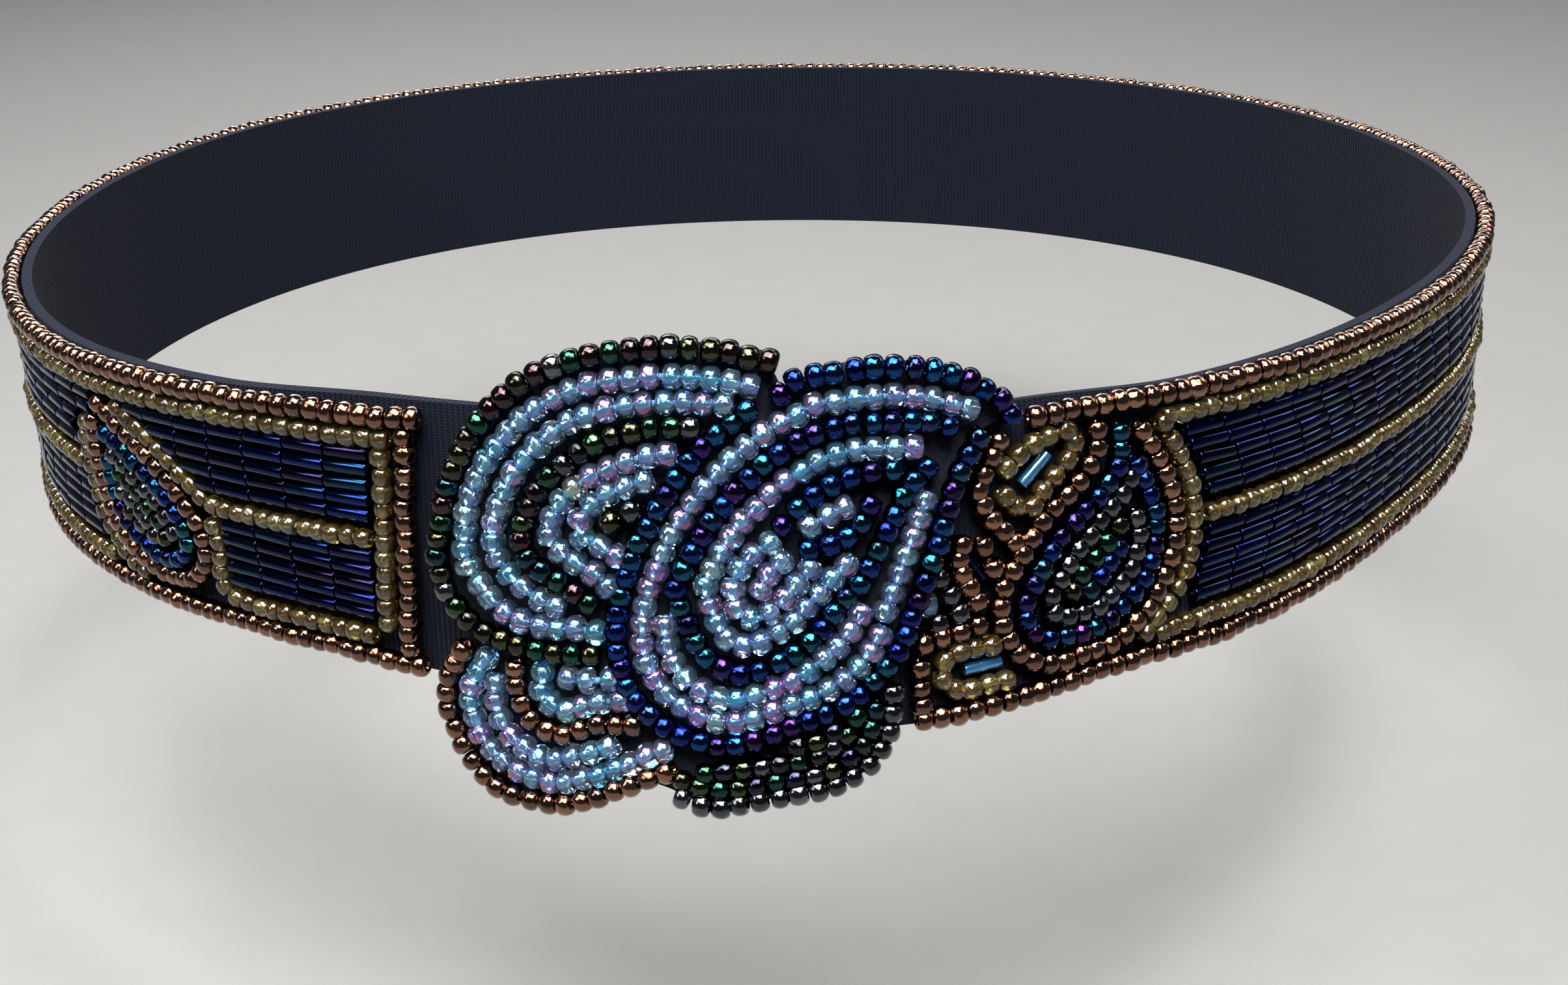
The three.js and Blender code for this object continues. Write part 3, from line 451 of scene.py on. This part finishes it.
def tube_form(track, radius, sides=6):
    """A round tube along a track of points in metres."""
    ahead = unit(np.gradient(track, axis=0))
    slanted = np.array([0.3, 0.2, 0.93])
    across = unit(np.cross(ahead, slanted))
    above = np.cross(ahead, across)
    angle = np.linspace(0, 2 * np.pi, sides, endpoint=False)
    ring = across[:, None] * np.cos(angle)[:, None] + above[:, None] * np.sin(angle)[:, None]
    return (track[:, None] + ring * radius).reshape(-1, 3), grid_faces(len(track), sides)


class Signal:
    """A number that a shader works out. Arithmetic on signals adds Math nodes."""

    def __init__(self, finish, socket):
        self.finish = finish
        self.socket = socket

    def _math(self, operation, *values):
        node = self.finish.node("ShaderNodeMath", {"operation": operation}, dict(enumerate(values)))
        return Signal(self.finish, node.outputs[0])

    def __add__(self, other):
        return self._math("ADD", self, other)

    __radd__ = __add__

    def __sub__(self, other):
        return self._math("SUBTRACT", self, other)

    def __rsub__(self, other):
        return self._math("SUBTRACT", other, self)

    def __mul__(self, other):
        return self._math("MULTIPLY", self, other)

    __rmul__ = __mul__

    def wave(self):
        """0 to 1 and back for each whole number."""
        return 0.5 + 0.5 * self._math("SINE", self * (2 * math.pi))


class Finish:
    """A material under construction. Keyword arguments are the shader's own constants."""

    def __init__(self, name, **constants):
        self.material = bpy.data.materials.new(name)
        self.material.use_nodes = True
        self.tree = self.material.node_tree
        self.shader = self.tree.nodes["Principled BSDF"]
        for key, value in constants.items():
            self.shader.inputs[key.replace("_", " ")].default_value = value

    def node(self, kind, settings=None, inputs=None):
        node = self.tree.nodes.new(kind)
        for key, value in (settings or {}).items():
            if key == "stops":
                self._set_stops(node.color_ramp, value)
            else:
                setattr(node, key, value)
        for key, value in (inputs or {}).items():
            if isinstance(value, Signal):
                value = value.socket
            if isinstance(value, bpy.types.NodeSocket):
                self.tree.links.new(value, node.inputs[key])
            else:
                node.inputs[key].default_value = value
        return node

    @staticmethod
    def _set_stops(ramp, stops):
        while len(ramp.elements) < len(stops):
            ramp.elements.new(0.5)
        for element, (position, color) in zip(ramp.elements, stops):
            element.position = position
            element.color = (*color, 1)

    def attribute(self, name):
        return Signal(self, self.node("ShaderNodeAttribute", {"attribute_name": name}).outputs["Fac"])

    def position(self):
        return self.node("ShaderNodeTexCoord").outputs["Object"]

    def noise(self, scale, detail):
        inputs = {"Scale": scale, "Detail": detail, "Vector": self.position()}
        return Signal(self, self.node("ShaderNodeTexNoise", {}, inputs).outputs["Fac"])

    def ramp(self, factor, stops):
        return self.node("ShaderNodeValToRGB", {"stops": stops}, {"Fac": factor}).outputs["Color"]

    def mix(self, factor, first, second):
        node = self.node("ShaderNodeMix", {"data_type": "RGBA"}, {"Factor": factor})
        for key, value in ((6, first), (7, second)):
            if isinstance(value, bpy.types.NodeSocket):
                self.tree.links.new(value, node.inputs[key])
            else:
                node.inputs[key].default_value = (*value, 1)
        return node.outputs[2]

    def bump(self, height, distance, strength):
        inputs = {"Height": height, "Distance": distance, "Strength": strength}
        return self.node("ShaderNodeBump", {}, inputs).outputs["Normal"]

    def uneven(self):
        """The slight unevenness of moulded glass."""
        return self.bump(self.noise(760, 1), distance=0.00035, strength=0.8)

    def feed(self, **sockets):
        for key, value in sockets.items():
            value = value.socket if isinstance(value, Signal) else value
            self.tree.links.new(value, self.shader.inputs[key.replace("_", " ")])
        return self.material


def bronze_finish():
    finish = Finish("bronze_bead", Metallic=1.0, Coat_Weight=0.9, Coat_Roughness=0.05)
    tint = finish.attribute("tint")
    color = finish.ramp(tint, [
        (0.0, (0.085, 0.026, 0.009)), (0.5, (0.145, 0.050, 0.019)), (1.0, (0.21, 0.085, 0.038))])
    worn = finish.noise(900, 3)
    color = finish.mix(worn * 0.35, color, (0.06, 0.020, 0.009))
    return finish.feed(Base_Color=color, Roughness=0.06 + 0.10 * worn, Normal=finish.uneven())


def amber_finish():
    finish = Finish("amber_bead", Transmission_Weight=0.93, IOR=1.5, Coat_Weight=0.5, Coat_Roughness=0.03)
    tint = finish.attribute("tint")
    color = finish.ramp(tint, [
        (0.0, (0.15, 0.084, 0.014)), (0.5, (0.22, 0.142, 0.030)), (1.0, (0.29, 0.23, 0.075))])
    return finish.feed(Base_Color=color, Roughness=0.04 + 0.08 * finish.noise(700, 2), Normal=finish.uneven())


def bugle_finish():
    finish = Finish("bugle_bead", Metallic=1.0, Coat_Weight=0.12, Coat_Roughness=0.05)
    tint = finish.attribute("tint")
    color = finish.ramp(tint, [
        (0.0, (0.001, 0.005, 0.050)), (0.4, (0.002, 0.013, 0.100)), (0.6, (0.002, 0.030, 0.062)),
        (0.75, (0.005, 0.006, 0.084)), (0.88, (0.012, 0.006, 0.030)), (1.0, (0.002, 0.008, 0.060))])
    streak = finish.noise(500, 3)
    color = finish.mix(streak * 0.6, color, (0.0012, 0.002, 0.012))
    return finish.feed(Base_Color=color, Roughness=0.06 + 0.08 * streak)


def pale_bugle_finish():
    finish = Finish("pale_bugle_bead", Metallic=0.8, Coat_Weight=0.8, Coat_Roughness=0.03)
    streak = finish.noise(420, 2)
    color = finish.ramp(streak, [(0.3, (0.02, 0.09, 0.28)), (0.6, (0.07, 0.26, 0.46))])
    return finish.feed(Base_Color=color, Roughness=0.10 + 0.1 * streak)


def green_iris_finish(name, colors):
    finish = Finish(name, Metallic=1.0, Coat_Weight=0.2, Coat_Roughness=0.04)
    tint = finish.attribute("tint") + 0.5 * (finish.noise(420, 1) - 0.5)
    color = finish.ramp(tint, [(k / (len(colors) - 1), color) for k, color in enumerate(colors)])
    return finish.feed(Base_Color=color, Roughness=0.05 + 0.08 * finish.noise(900, 2), Normal=finish.uneven())


def blue_iris_finish():
    finish = Finish("blue_iris_bead", Metallic=1.0, Coat_Weight=0.14, Coat_Roughness=0.04)
    tint = finish.attribute("tint") + 0.4 * (finish.noise(420, 1) - 0.5)
    color = finish.ramp(tint, [
        (0.0, (0.001, 0.006, 0.082)), (0.3, (0.002, 0.020, 0.120)), (0.5, (0.002, 0.040, 0.112)),
        (0.66, (0.003, 0.050, 0.066)), (0.8, (0.012, 0.007, 0.090)), (0.92, (0.026, 0.007, 0.062)),
        (1.0, (0.001, 0.004, 0.036))])
    return finish.feed(Base_Color=color, Roughness=0.05 + 0.08 * finish.noise(900, 2), Normal=finish.uneven())


def clear_finish(name, film, body):
    """Clear glass with a rainbow coat, whose colour comes from the coat's thickness."""
    finish = Finish(name, Transmission_Weight=0.97, IOR=1.5, Coat_Weight=0.4, Coat_Roughness=0.02,
                    Thin_Film_Thickness=film, Thin_Film_IOR=1.95)
    tint = finish.attribute("tint") + 0.5 * (finish.noise(360, 1) - 0.5)
    color = finish.ramp(tint, [(0.0, body), (0.5, (0.46, 0.68, 0.84)), (1.0, (0.42, 0.48, 0.80))])
    return finish.feed(Base_Color=color, Roughness=0.02 + 0.06 * finish.noise(800, 1), Normal=finish.uneven())


def hematite_finish():
    finish = Finish("hematite_bead", Metallic=1.0, Coat_Weight=0.8, Coat_Roughness=0.04)
    tint = finish.attribute("tint")
    color = finish.ramp(tint, [
        (0.0, (0.014, 0.016, 0.021)), (0.6, (0.032, 0.035, 0.042)), (1.0, (0.062, 0.066, 0.075))])
    return finish.feed(Base_Color=color, Roughness=0.05 + 0.08 * finish.noise(900, 2), Normal=finish.uneven())


def thread_finish(name, color, light):
    finish = Finish(name, Sheen_Weight=0.3)
    twist = finish.noise(2600, 2)
    return finish.feed(Base_Color=finish.mix(twist, color, light), Roughness=0.45 + 0.3 * twist)


def ribbed_finish():
    """Ribbed navy ribbon: fine ribs across the band, with the weave's cross threads between them, and painted
    shade darkening the grooves between them.
    """
    finish = Finish("navy_fabric", Sheen_Weight=0.02, Specular_IOR_Level=0.12)
    along, up = finish.attribute("along"), finish.attribute("up")
    uneven = finish.noise(260, 3)
    ribs = (along * 1.35 + 0.25 * uneven).wave()
    threads = (up * 2.6 + 0.5 * ribs).wave()
    height = ribs * 0.7 + threads * 0.3
    # Painted shade: the colour follows the relief height, darker where ribs and cross threads are low; the
    # uneven noise is the cloth's own random tone.
    color = finish.ramp(height + 0.4 * (uneven - 0.5), [
        (0.0, (0.0006, 0.0011, 0.0034)), (0.6, (0.0015, 0.0027, 0.0086)), (1.0, (0.0034, 0.0054, 0.016))])
    relief = finish.bump(height, distance=0.00022, strength=0.9)
    return finish.feed(Base_Color=color, Roughness=0.78 + 0.18 * uneven, Normal=relief)


def felt_finish():
    finish = Finish("black_felt", Sheen_Weight=0.03, Specular_IOR_Level=0.2)
    fibre = finish.noise(2400, 5)
    color = finish.ramp(fibre, [(0.3, (0.001, 0.0015, 0.004)), (0.7, (0.005, 0.0065, 0.013))])
    relief = finish.bump(fibre, distance=0.0003, strength=0.8)
    return finish.feed(Base_Color=color, Roughness=0.85 + 0.15 * fibre, Normal=relief)


FINISHES = {
    "bronze": bronze_finish(),
    "amber": amber_finish(),
    "bugle": bugle_finish(),
    "pale_bugle": pale_bugle_finish(),
    "green_iris": green_iris_finish("green_iris_bead", [
        (0.005, 0.024, 0.035), (0.005, 0.038, 0.024), (0.012, 0.044, 0.020), (0.044, 0.046, 0.018),
        (0.022, 0.024, 0.013), (0.036, 0.016, 0.022), (0.007, 0.012, 0.013)]),
    "dark_iris": green_iris_finish("dark_iris_bead", [
        (0.005, 0.022, 0.036), (0.005, 0.033, 0.026), (0.009, 0.038, 0.018), (0.032, 0.038, 0.017),
        (0.011, 0.013, 0.012), (0.012, 0.010, 0.032)]),
    "blue_iris": blue_iris_finish(),
    "clear": clear_finish("clear_bead", 160.0, (0.22, 0.60, 0.80)),
    "clear_lilac": clear_finish("clear_lilac_bead", 286.0, (0.50, 0.42, 0.76)),
    "clear_gold": clear_finish("clear_gold_bead", 195.0, (0.66, 0.62, 0.54)),
    "hematite": hematite_finish(),
    "navy_fabric": ribbed_finish(),
    "black_felt": felt_finish(),
    "teal_thread": thread_finish("teal_thread", (0.02, 0.15, 0.20), (0.08, 0.34, 0.42)),
    "pale_thread": thread_finish("pale_thread", (0.30, 0.31, 0.21), (0.55, 0.58, 0.44)),
}
SLOTS = {name: name + "_bead" for name in FINISHES}
SLOTS.update(navy_fabric="navy_fabric", black_felt="black_felt")
SLOTS.update(clear_lilac="clear_bead", clear_gold="clear_bead")


def ride_as(name, mesh, node):
    """An object of a mesh, which rides on the belt and stands for a node."""
    piece = bpy.data.objects.new(name, mesh)
    bpy.context.collection.objects.link(piece)
    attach(piece, "root")
    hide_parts(node)


def set_attribute(mesh, name, values):
    mesh.attributes.new(name, "FLOAT", "POINT").data.foreach_set("value", np.asarray(values, np.float32))


def add_beads(name, parts, tints, node):
    """One mesh from parts of (points, faces, finish), which stands for a node. Each point has a tint."""
    points, faces, slots, finishes, start = [], [], [], [], 0
    for part_points, part_faces, finish in parts:
        if finish not in finishes:
            finishes.append(finish)
        points.append(part_points)
        faces.extend((part_faces + start).tolist())
        slots.extend([finishes.index(finish)] * len(part_faces))
        start += len(part_points)
    mesh = bpy.data.meshes.new(name)
    mesh.from_pydata(np.vstack(points).tolist(), [], faces)
    mesh.polygons.foreach_set("use_smooth", [True] * len(faces))
    for finish in finishes:
        mesh.materials.append(FINISHES[finish])
    mesh.polygons.foreach_set("material_index", slots)
    set_attribute(mesh, "tint", tints)
    mesh.update()
    ride_as(name, mesh, node)


def add_cloth(name, points, faces, along, up, node, finish):
    """A piece of cloth, whose points know their places along the band and up."""
    mesh = bpy.data.meshes.new(name)
    mesh.from_pydata(points.tolist(), [], faces)
    mesh.materials.append(FINISHES[finish])
    set_attribute(mesh, "along", along)
    set_attribute(mesh, "up", up)
    mesh.update()
    ride_as(name, mesh, node)


# The finishes that each kind of string mixes, with the share of its beads that has each
MIXTURE = {name: [(name, 1.0)] for name in FINISHES}
MIXTURE["clear"] = [("clear", 0.64), ("clear_lilac", 0.28), ("clear_gold", 0.08)]
MIXTURE["green_iris"] = [("green_iris", 0.9), ("hematite", 0.1)]
MIXTURE["dark_iris"] = [("dark_iris", 0.85), ("hematite", 0.15)]
WIDTHS = {"amber": 0.92, "dark_iris": 0.9, "clear": 1.09}


def beads_on(spots, out, lifted, finish):
    """The beads at spots on one string: parts and tints."""
    count = len(spots)
    centres, axes = frames_at(spots, out, lifted)
    centres = centres + rng.normal(0, BEAD_SCATTER, (count, 3)) * MM
    lengths = BEAD_PITCH * rng.normal(0.99, 0.05, count).clip(0.88, 1.07)
    widths = BEAD * rng.normal(1.0, 0.03, count).clip(0.93, 1.06) * WIDTHS.get(finish, 1.0)
    axes = jittered(axes, BEAD_TIP)
    kinds = rng.choice(len(MIXTURE[finish]), count, p=[share for _, share in MIXTURE[finish]])
    parts, tints = [], []
    for kind, (name, _) in enumerate(MIXTURE[finish]):
        picked = np.flatnonzero(kinds == kind)
        if len(picked):
            points, faces = copies(BEAD_FORM, centres[picked], axes[picked], lengths[picked], widths[picked])
            parts.append((points, faces, name))
            tints.append(np.repeat(rng.random(len(picked)), len(BEAD_FORM[0])))
    return parts, np.concatenate(tints)


def string_parts(points, out, lifted, finish):
    """The beads of one string, and its thread where the beads are clear."""
    route = smooth_route(points)
    spots = spaced(route, BEAD_PITCH, out, lifted) if len(route) > 1 else route
    parts, tints = beads_on(spots, out, lifted, finish)
    if finish in ("clear", "amber") and len(route) > 1:
        thread = "teal_thread" if finish == "clear" else "pale_thread"
        track = place(route[:, 0], route[:, 1], out, lifted)
        thread_points, thread_faces = tube_form(track, THREAD / 2 * MM)
        parts.append((thread_points, thread_faces, thread))
        tints = np.r_[tints, np.zeros(len(thread_points))]
    return parts, tints


def bugle_between(ends, width):
    """One bugle on the band, from one end to the other."""
    ends = np.array(ends, float)
    out = CLEARANCE + width / 2
    centres, axes = frames_at(ends.mean(axis=0)[None], out, True, ends[1:] - ends[:1])
    length = np.linalg.norm(np.diff(place(ends[:, 0], ends[:, 1], out), axis=0), axis=1) / MM
    return copies(BUGLE_FORM, centres, axes, length, np.array([width]))


def add_string(name, points, out, lifted, finish):
    parts, tints = string_parts(points, out, lifted, finish)
    for turn in TURNS.get(name, ()):
        turn_parts, turn_tints = string_parts(turn, out, lifted, finish)
        parts += turn_parts
        tints = np.r_[tints, turn_tints]
    for ends in THIN_BUGLES.get(name, ()):
        bugle_points, bugle_faces = bugle_between(ends, THIN_BUGLE)
        parts.append((bugle_points, bugle_faces, "bugle"))
        tints = np.r_[tints, np.full(len(bugle_points), 0.1)]
    add_beads(name + "_beads", parts, tints, name)


# What the beads lie on: how far out their middles are, and whether the fastened end lifts them
LAYERS = {"ornament": (ON_FELT, True), "right": (ON_BAND, True), "left": (ON_BAND, False)}


def add_strings():
    for name, (finish, layer, points) in STRINGS.items():
        add_string(name, points, *LAYERS[layer], finish)


def add_patches():
    for name, (layer, rows) in PATCHES.items():
        parts, tints = [], []
        for finish, points in rows:
            row_parts, row_tints = string_parts(points, *LAYERS[layer], finish)
            parts += row_parts
            tints.append(row_tints)
        add_beads(name + "_beads", parts, np.concatenate(tints), name)


def left_end(up):
    """Where along the band the column at its left end stands, at a height."""
    return LEFT_END_BOTTOM + (LEFT_END_TOP - LEFT_END_BOTTOM) * (up / EDGE_HEIGHT + 1) / 2


def add_loops():
    """The strings that run round the whole belt, and the two columns that close its left end."""
    for name, (finish, start, end, height, drops) in LOOPS.items():
        along = np.linspace(start, LOOP_LENGTH + end, STRING_STATIONS)
        up = height - edge_drop(along) if drops else np.full_like(along, height)
        add_string(name, np.stack([along, up], -1), ON_BAND, True, finish)
    for name, (finish, shift, reach) in COLUMNS.items():
        up = np.linspace(reach, -reach, 3)
        add_string(name, np.stack([left_end(up) + shift, up], -1), ON_BAND, False, finish)


def crossing(route, up):
    """Where along the band a string's route crosses a height."""
    line = smooth_route(STRINGS[route][2])
    order = np.argsort(line[:, 1])
    return np.interp(up, line[order, 1], line[order, 0])


def bugle_row(start, end, backwards):
    """Bugles from one edge to the other: their middles and lengths. The last fills what is left."""
    middles, lengths, used = [], [], rng.uniform(0, 0.4)
    while end - start - used > BUGLE_LENGTH / 3:
        length = min(BUGLE_LENGTH * rng.normal(1.0, 0.012), end - start - used)
        middle = used + length / 2
        middles.append(end - middle if backwards else start + middle)
        lengths.append(length)
        used += length + BUGLE_PITCH - BUGLE_LENGTH
    return middles, lengths


def add_bugles(name, rows, backwards=False):
    """Rows of bugles, each a height and where along the band it starts and ends."""
    spots, lengths = [], []
    for up, start, end in rows:
        middles, row_lengths = bugle_row(start, end, backwards)
        spots += [(middle, up + rng.normal(0, ROW_SCATTER)) for middle in middles]
        lengths += row_lengths
    spots, lengths = np.array(spots), np.array(lengths)
    out = CLEARANCE + BUGLE / 2
    centres, axes = frames_at(spots, out, True, np.broadcast_to([1.0, 0.0], spots.shape))
    axes = jittered(axes, BUGLE_TIP)
    widths = BUGLE * rng.normal(0.99, 0.015, len(spots))
    points, faces = copies(BUGLE_FORM, centres, axes, lengths, widths)
    tints = np.repeat(rng.random(len(spots)), len(BUGLE_FORM[0]))
    add_beads(name + "_beads", [(points, faces, "bugle")], tints, name)


def add_bugle_fields():
    """The four fields of bugles, two between the left leaf and the column and two round the back."""
    def front_end(up):
        return LOOP_LENGTH + left_end(up) - COLUMN_STEP - COLUMN_GAP

    def right_leaf(up):
        return crossing("right_leaf_amber", up) + RIGHT_LEAF_GAP

    def past_left_leaf(up):
        return LOOP_LENGTH + crossing("amber_middle_left", up) + LEFT_LEAF_GAP

    foot = LOOP_LENGTH + LEFT_LEAF_FOOT
    add_bugles("bugles_high_front", [(up, past_left_leaf(up), front_end(up)) for up, _ in HIGH_ROWS], True)
    add_bugles("bugles_low_front", [(up, foot, front_end(up)) for up, _ in LOW_ROWS], True)
    add_bugles("bugles_high_back", [(up, right_leaf(up), LOOP_LENGTH + leaf) for up, leaf in HIGH_ROWS])
    add_bugles("bugles_low_back", [(up, right_leaf(up), LOOP_LENGTH + leaf) for up, leaf in LOW_ROWS])


def add_loose_bugles():
    for name, ends in LOOSE_BUGLES.items():
        points, faces = bugle_between(ends, LOOSE_BUGLE)
        add_beads(name + "_bead", [(points, faces, "pale_bugle")], np.zeros(len(points)), name)


def strip_part(along, low, high, outs, rows, lifted):
    """A strip of the band, closed, with rows of faces up both of its sides, and its own coordinates."""
    share = np.linspace(0, 1, rows + 1)
    up = low[:, None] + (high - low)[:, None] * share
    s = np.broadcast_to(along[:, None], up.shape)
    outline_up = np.hstack([up, up[:, ::-1]])
    outline_out = np.hstack([np.full(up.shape, outs[1]), np.full(up.shape, outs[0])])
    points = place(np.hstack([s, s]), outline_up, outline_out, lifted)
    corners = outline_up.shape[1]
    last = (len(along) - 1) * corners
    caps = [list(range(corners)), list(range(last, last + corners))[::-1]]
    faces = grid_faces(len(along), corners)[:, ::-1].tolist() + caps
    return points.reshape(-1, 3), faces, np.hstack([s, s]).ravel(), outline_up.ravel()


def add_soft_parts():
    """The band's ribbed backing and the plain pad of its closure."""
    along = np.linspace(COVERED_END, LOOP_LENGTH + TONGUE_END, BAND_STATIONS)
    to_front = np.abs(along - LOOP_LENGTH * np.round(along / LOOP_LENGTH))
    top = FABRIC_HEIGHT + FABRIC_FRONT_RISE * smooth_step(FRONT_HALF + FRONT_FADE - to_front, FRONT_FADE)
    bottom = -FABRIC_HEIGHT - edge_drop(along)
    points, faces, s, up = strip_part(along, bottom, top, (-FABRIC_THICKNESS, 0), rows=8, lifted=True)
    add_cloth("backing_band_cloth", points, faces, s, up, "backing_band", "navy_fabric")
    along = np.linspace(*PAD_SPAN, PAD_STATIONS)
    half = np.full(len(along), PAD_HEIGHT / 2)
    outs = (CLEARANCE, CLEARANCE + PAD_THICKNESS)
    points, faces, s, up = strip_part(along, -half, half, outs, rows=4, lifted=False)
    add_cloth("closure_pad_cloth", points, faces, s, up, "closure_pad", "black_felt")


def add_ornament_base():
    """Felt cut to the ornament's outline: rings of faces on both sides, from a soft edge inwards."""
    outline = smooth_route(ORNAMENT_OUTLINE, closed=True)[:-1:3]
    count = len(outline)
    middle = outline.mean(axis=0)
    shares = (1.0, 0.97, 0.8, 0.6, 0.4, 0.2)
    sides = {"front": (FELT_TOP, -0.25), "under": (CLEARANCE, 0.2)}
    points = []
    for out, edge in sides.values():
        for share in shares:
            ring = middle + (outline - middle) * share
            points.append(place(ring[:, 0], ring[:, 1], out + edge if share == 1 else out))
        points.append(place(*middle, out)[None])
    side_size = len(shares) * count + 1
    index = np.arange(count)
    following = (index + 1) % count
    faces = []
    for side in range(len(sides)):
        turn = -1 if side else 1
        start = side * side_size
        for k in range(len(shares) - 1):
            a, b = start + k * count, start + (k + 1) * count
            faces += np.stack([a + index, a + following, b + following, b + index], -1)[:, ::turn].tolist()
        last, centre = start + (len(shares) - 1) * count, start + side_size - 1
        faces += np.stack([last + index, last + following, np.full(count, centre)], -1)[:, ::turn].tolist()
    faces += np.stack([index, side_size + index, side_size + following, following], -1).tolist()
    points = np.vstack(points)
    flat = np.zeros(len(points))
    add_cloth("ornament_base_felt", points, faces, flat, flat, "ornament_base", "black_felt")


# The photograph's viewpoint: place in millimetres, turns in degrees, and the frame's width in pixels
CAMERA_AT = (19.4, -283.3, 98.0)
CAMERA_YAW = -2.99
CAMERA_PITCH = 25.76
CAMERA_ROLL = 1.39
FOCAL_PIXELS = 2600
FRAME_PIXELS = 2408
SENSOR = 36.0


def add_camera():
    yaw, pitch, roll = (math.radians(value) for value in (CAMERA_YAW, CAMERA_PITCH, CAMERA_ROLL))
    flat = math.cos(pitch)
    forward = np.array([math.sin(yaw) * flat, math.cos(yaw) * flat, -math.sin(pitch)])
    level = np.array([math.cos(yaw), -math.sin(yaw), 0.0])
    down = np.cross(forward, level)
    right = math.cos(roll) * level + math.sin(roll) * down
    below = -math.sin(roll) * level + math.cos(roll) * down
    data = bpy.data.cameras.new("camera")
    data.sensor_width = SENSOR
    data.lens = FOCAL_PIXELS / FRAME_PIXELS * SENSOR
    data.clip_start = 0.01
    camera = bpy.data.objects.new("camera", data)
    axes = Matrix(np.stack([right, -below, -forward], -1).tolist()).to_4x4()
    camera.matrix_world = Matrix.Translation([value * MM for value in CAMERA_AT]) @ axes
    bpy.context.collection.objects.link(camera)
    bpy.context.scene.camera = camera


# The studio's lights in metres and watts: place, what they point at, size, power
FRONT = (0, -0.1, 0)
MIDDLE = (0, 0, 0)
LIGHTS = {
    "key": ((-0.14, -0.30, 0.80), FRONT, (0.74, 0.50), 24.0),
    "key_front": ((0.12, -0.46, 0.70), FRONT, (0.34, 0.38), 9.0),
    "sparkle": ((0.26, -0.14, 0.82), FRONT, (0.13, 0.13), 3.0),
    "fill": ((-0.64, -0.50, 0.56), FRONT, (0.26, 0.26), 3.4),
    "rim": ((0.60, 0.30, 0.55), MIDDLE, (0.40, 0.30), 2.2),
    "back": ((-0.30, 0.80, 0.50), MIDDLE, (0.50, 0.30), 2.2),
    "far_floor": ((0.0, 1.50, 1.10), (0.0, 1.10, -0.09), (1.6, 0.8), 14.0),
}
SKY = (0.80, 0.86, 0.96)
SKY_STRENGTH = 0.13
FLOOR_SIZE = 3.0
FLOOR_HEIGHT = -0.09


def add_light(name, at, aim, size, power):
    data = bpy.data.lights.new(name, "AREA")
    data.shape = "RECTANGLE"
    data.size, data.size_y = size
    data.energy = power
    light = bpy.data.objects.new(name, data)
    way = unit(np.array(at) - np.array(aim))
    side = unit(np.cross([0.0, 0.0, 1.0], way))
    axes = Matrix(np.stack([side, np.cross(way, side), way], -1).tolist()).to_4x4()
    light.matrix_world = Matrix.Translation(at) @ axes
    bpy.context.collection.objects.link(light)


def add_floor():
    finish = Finish("floor", Roughness=0.8)
    grain = finish.noise(90, 3)
    material = finish.feed(Base_Color=finish.mix(grain, (0.152, 0.150, 0.144), (0.166, 0.164, 0.157)))
    mesh = bpy.data.meshes.new("floor")
    signs = ((-1, -1), (1, -1), (1, 1), (-1, 1))
    points = [(x * FLOOR_SIZE, y * FLOOR_SIZE, FLOOR_HEIGHT) for x, y in signs]
    mesh.from_pydata(points, [], [(0, 1, 2, 3)])
    mesh.materials.append(material)
    floor = bpy.data.objects.new("floor", mesh)
    bpy.context.collection.objects.link(floor)


def add_studio():
    world = bpy.data.worlds.new("studio")
    world.use_nodes = True
    background = world.node_tree.nodes["Background"].inputs
    background["Color"].default_value = (*SKY, 1)
    background["Strength"].default_value = SKY_STRENGTH
    bpy.context.scene.world = world
    for name, row in LIGHTS.items():
        add_light(name, *row)
    add_floor()


bpy.context.scene.view_settings.view_transform = "Standard"
add_camera()
add_studio()
add_soft_parts()
add_ornament_base()
add_loops()
add_strings()
add_patches()
add_bugle_fields()
add_loose_bugles()
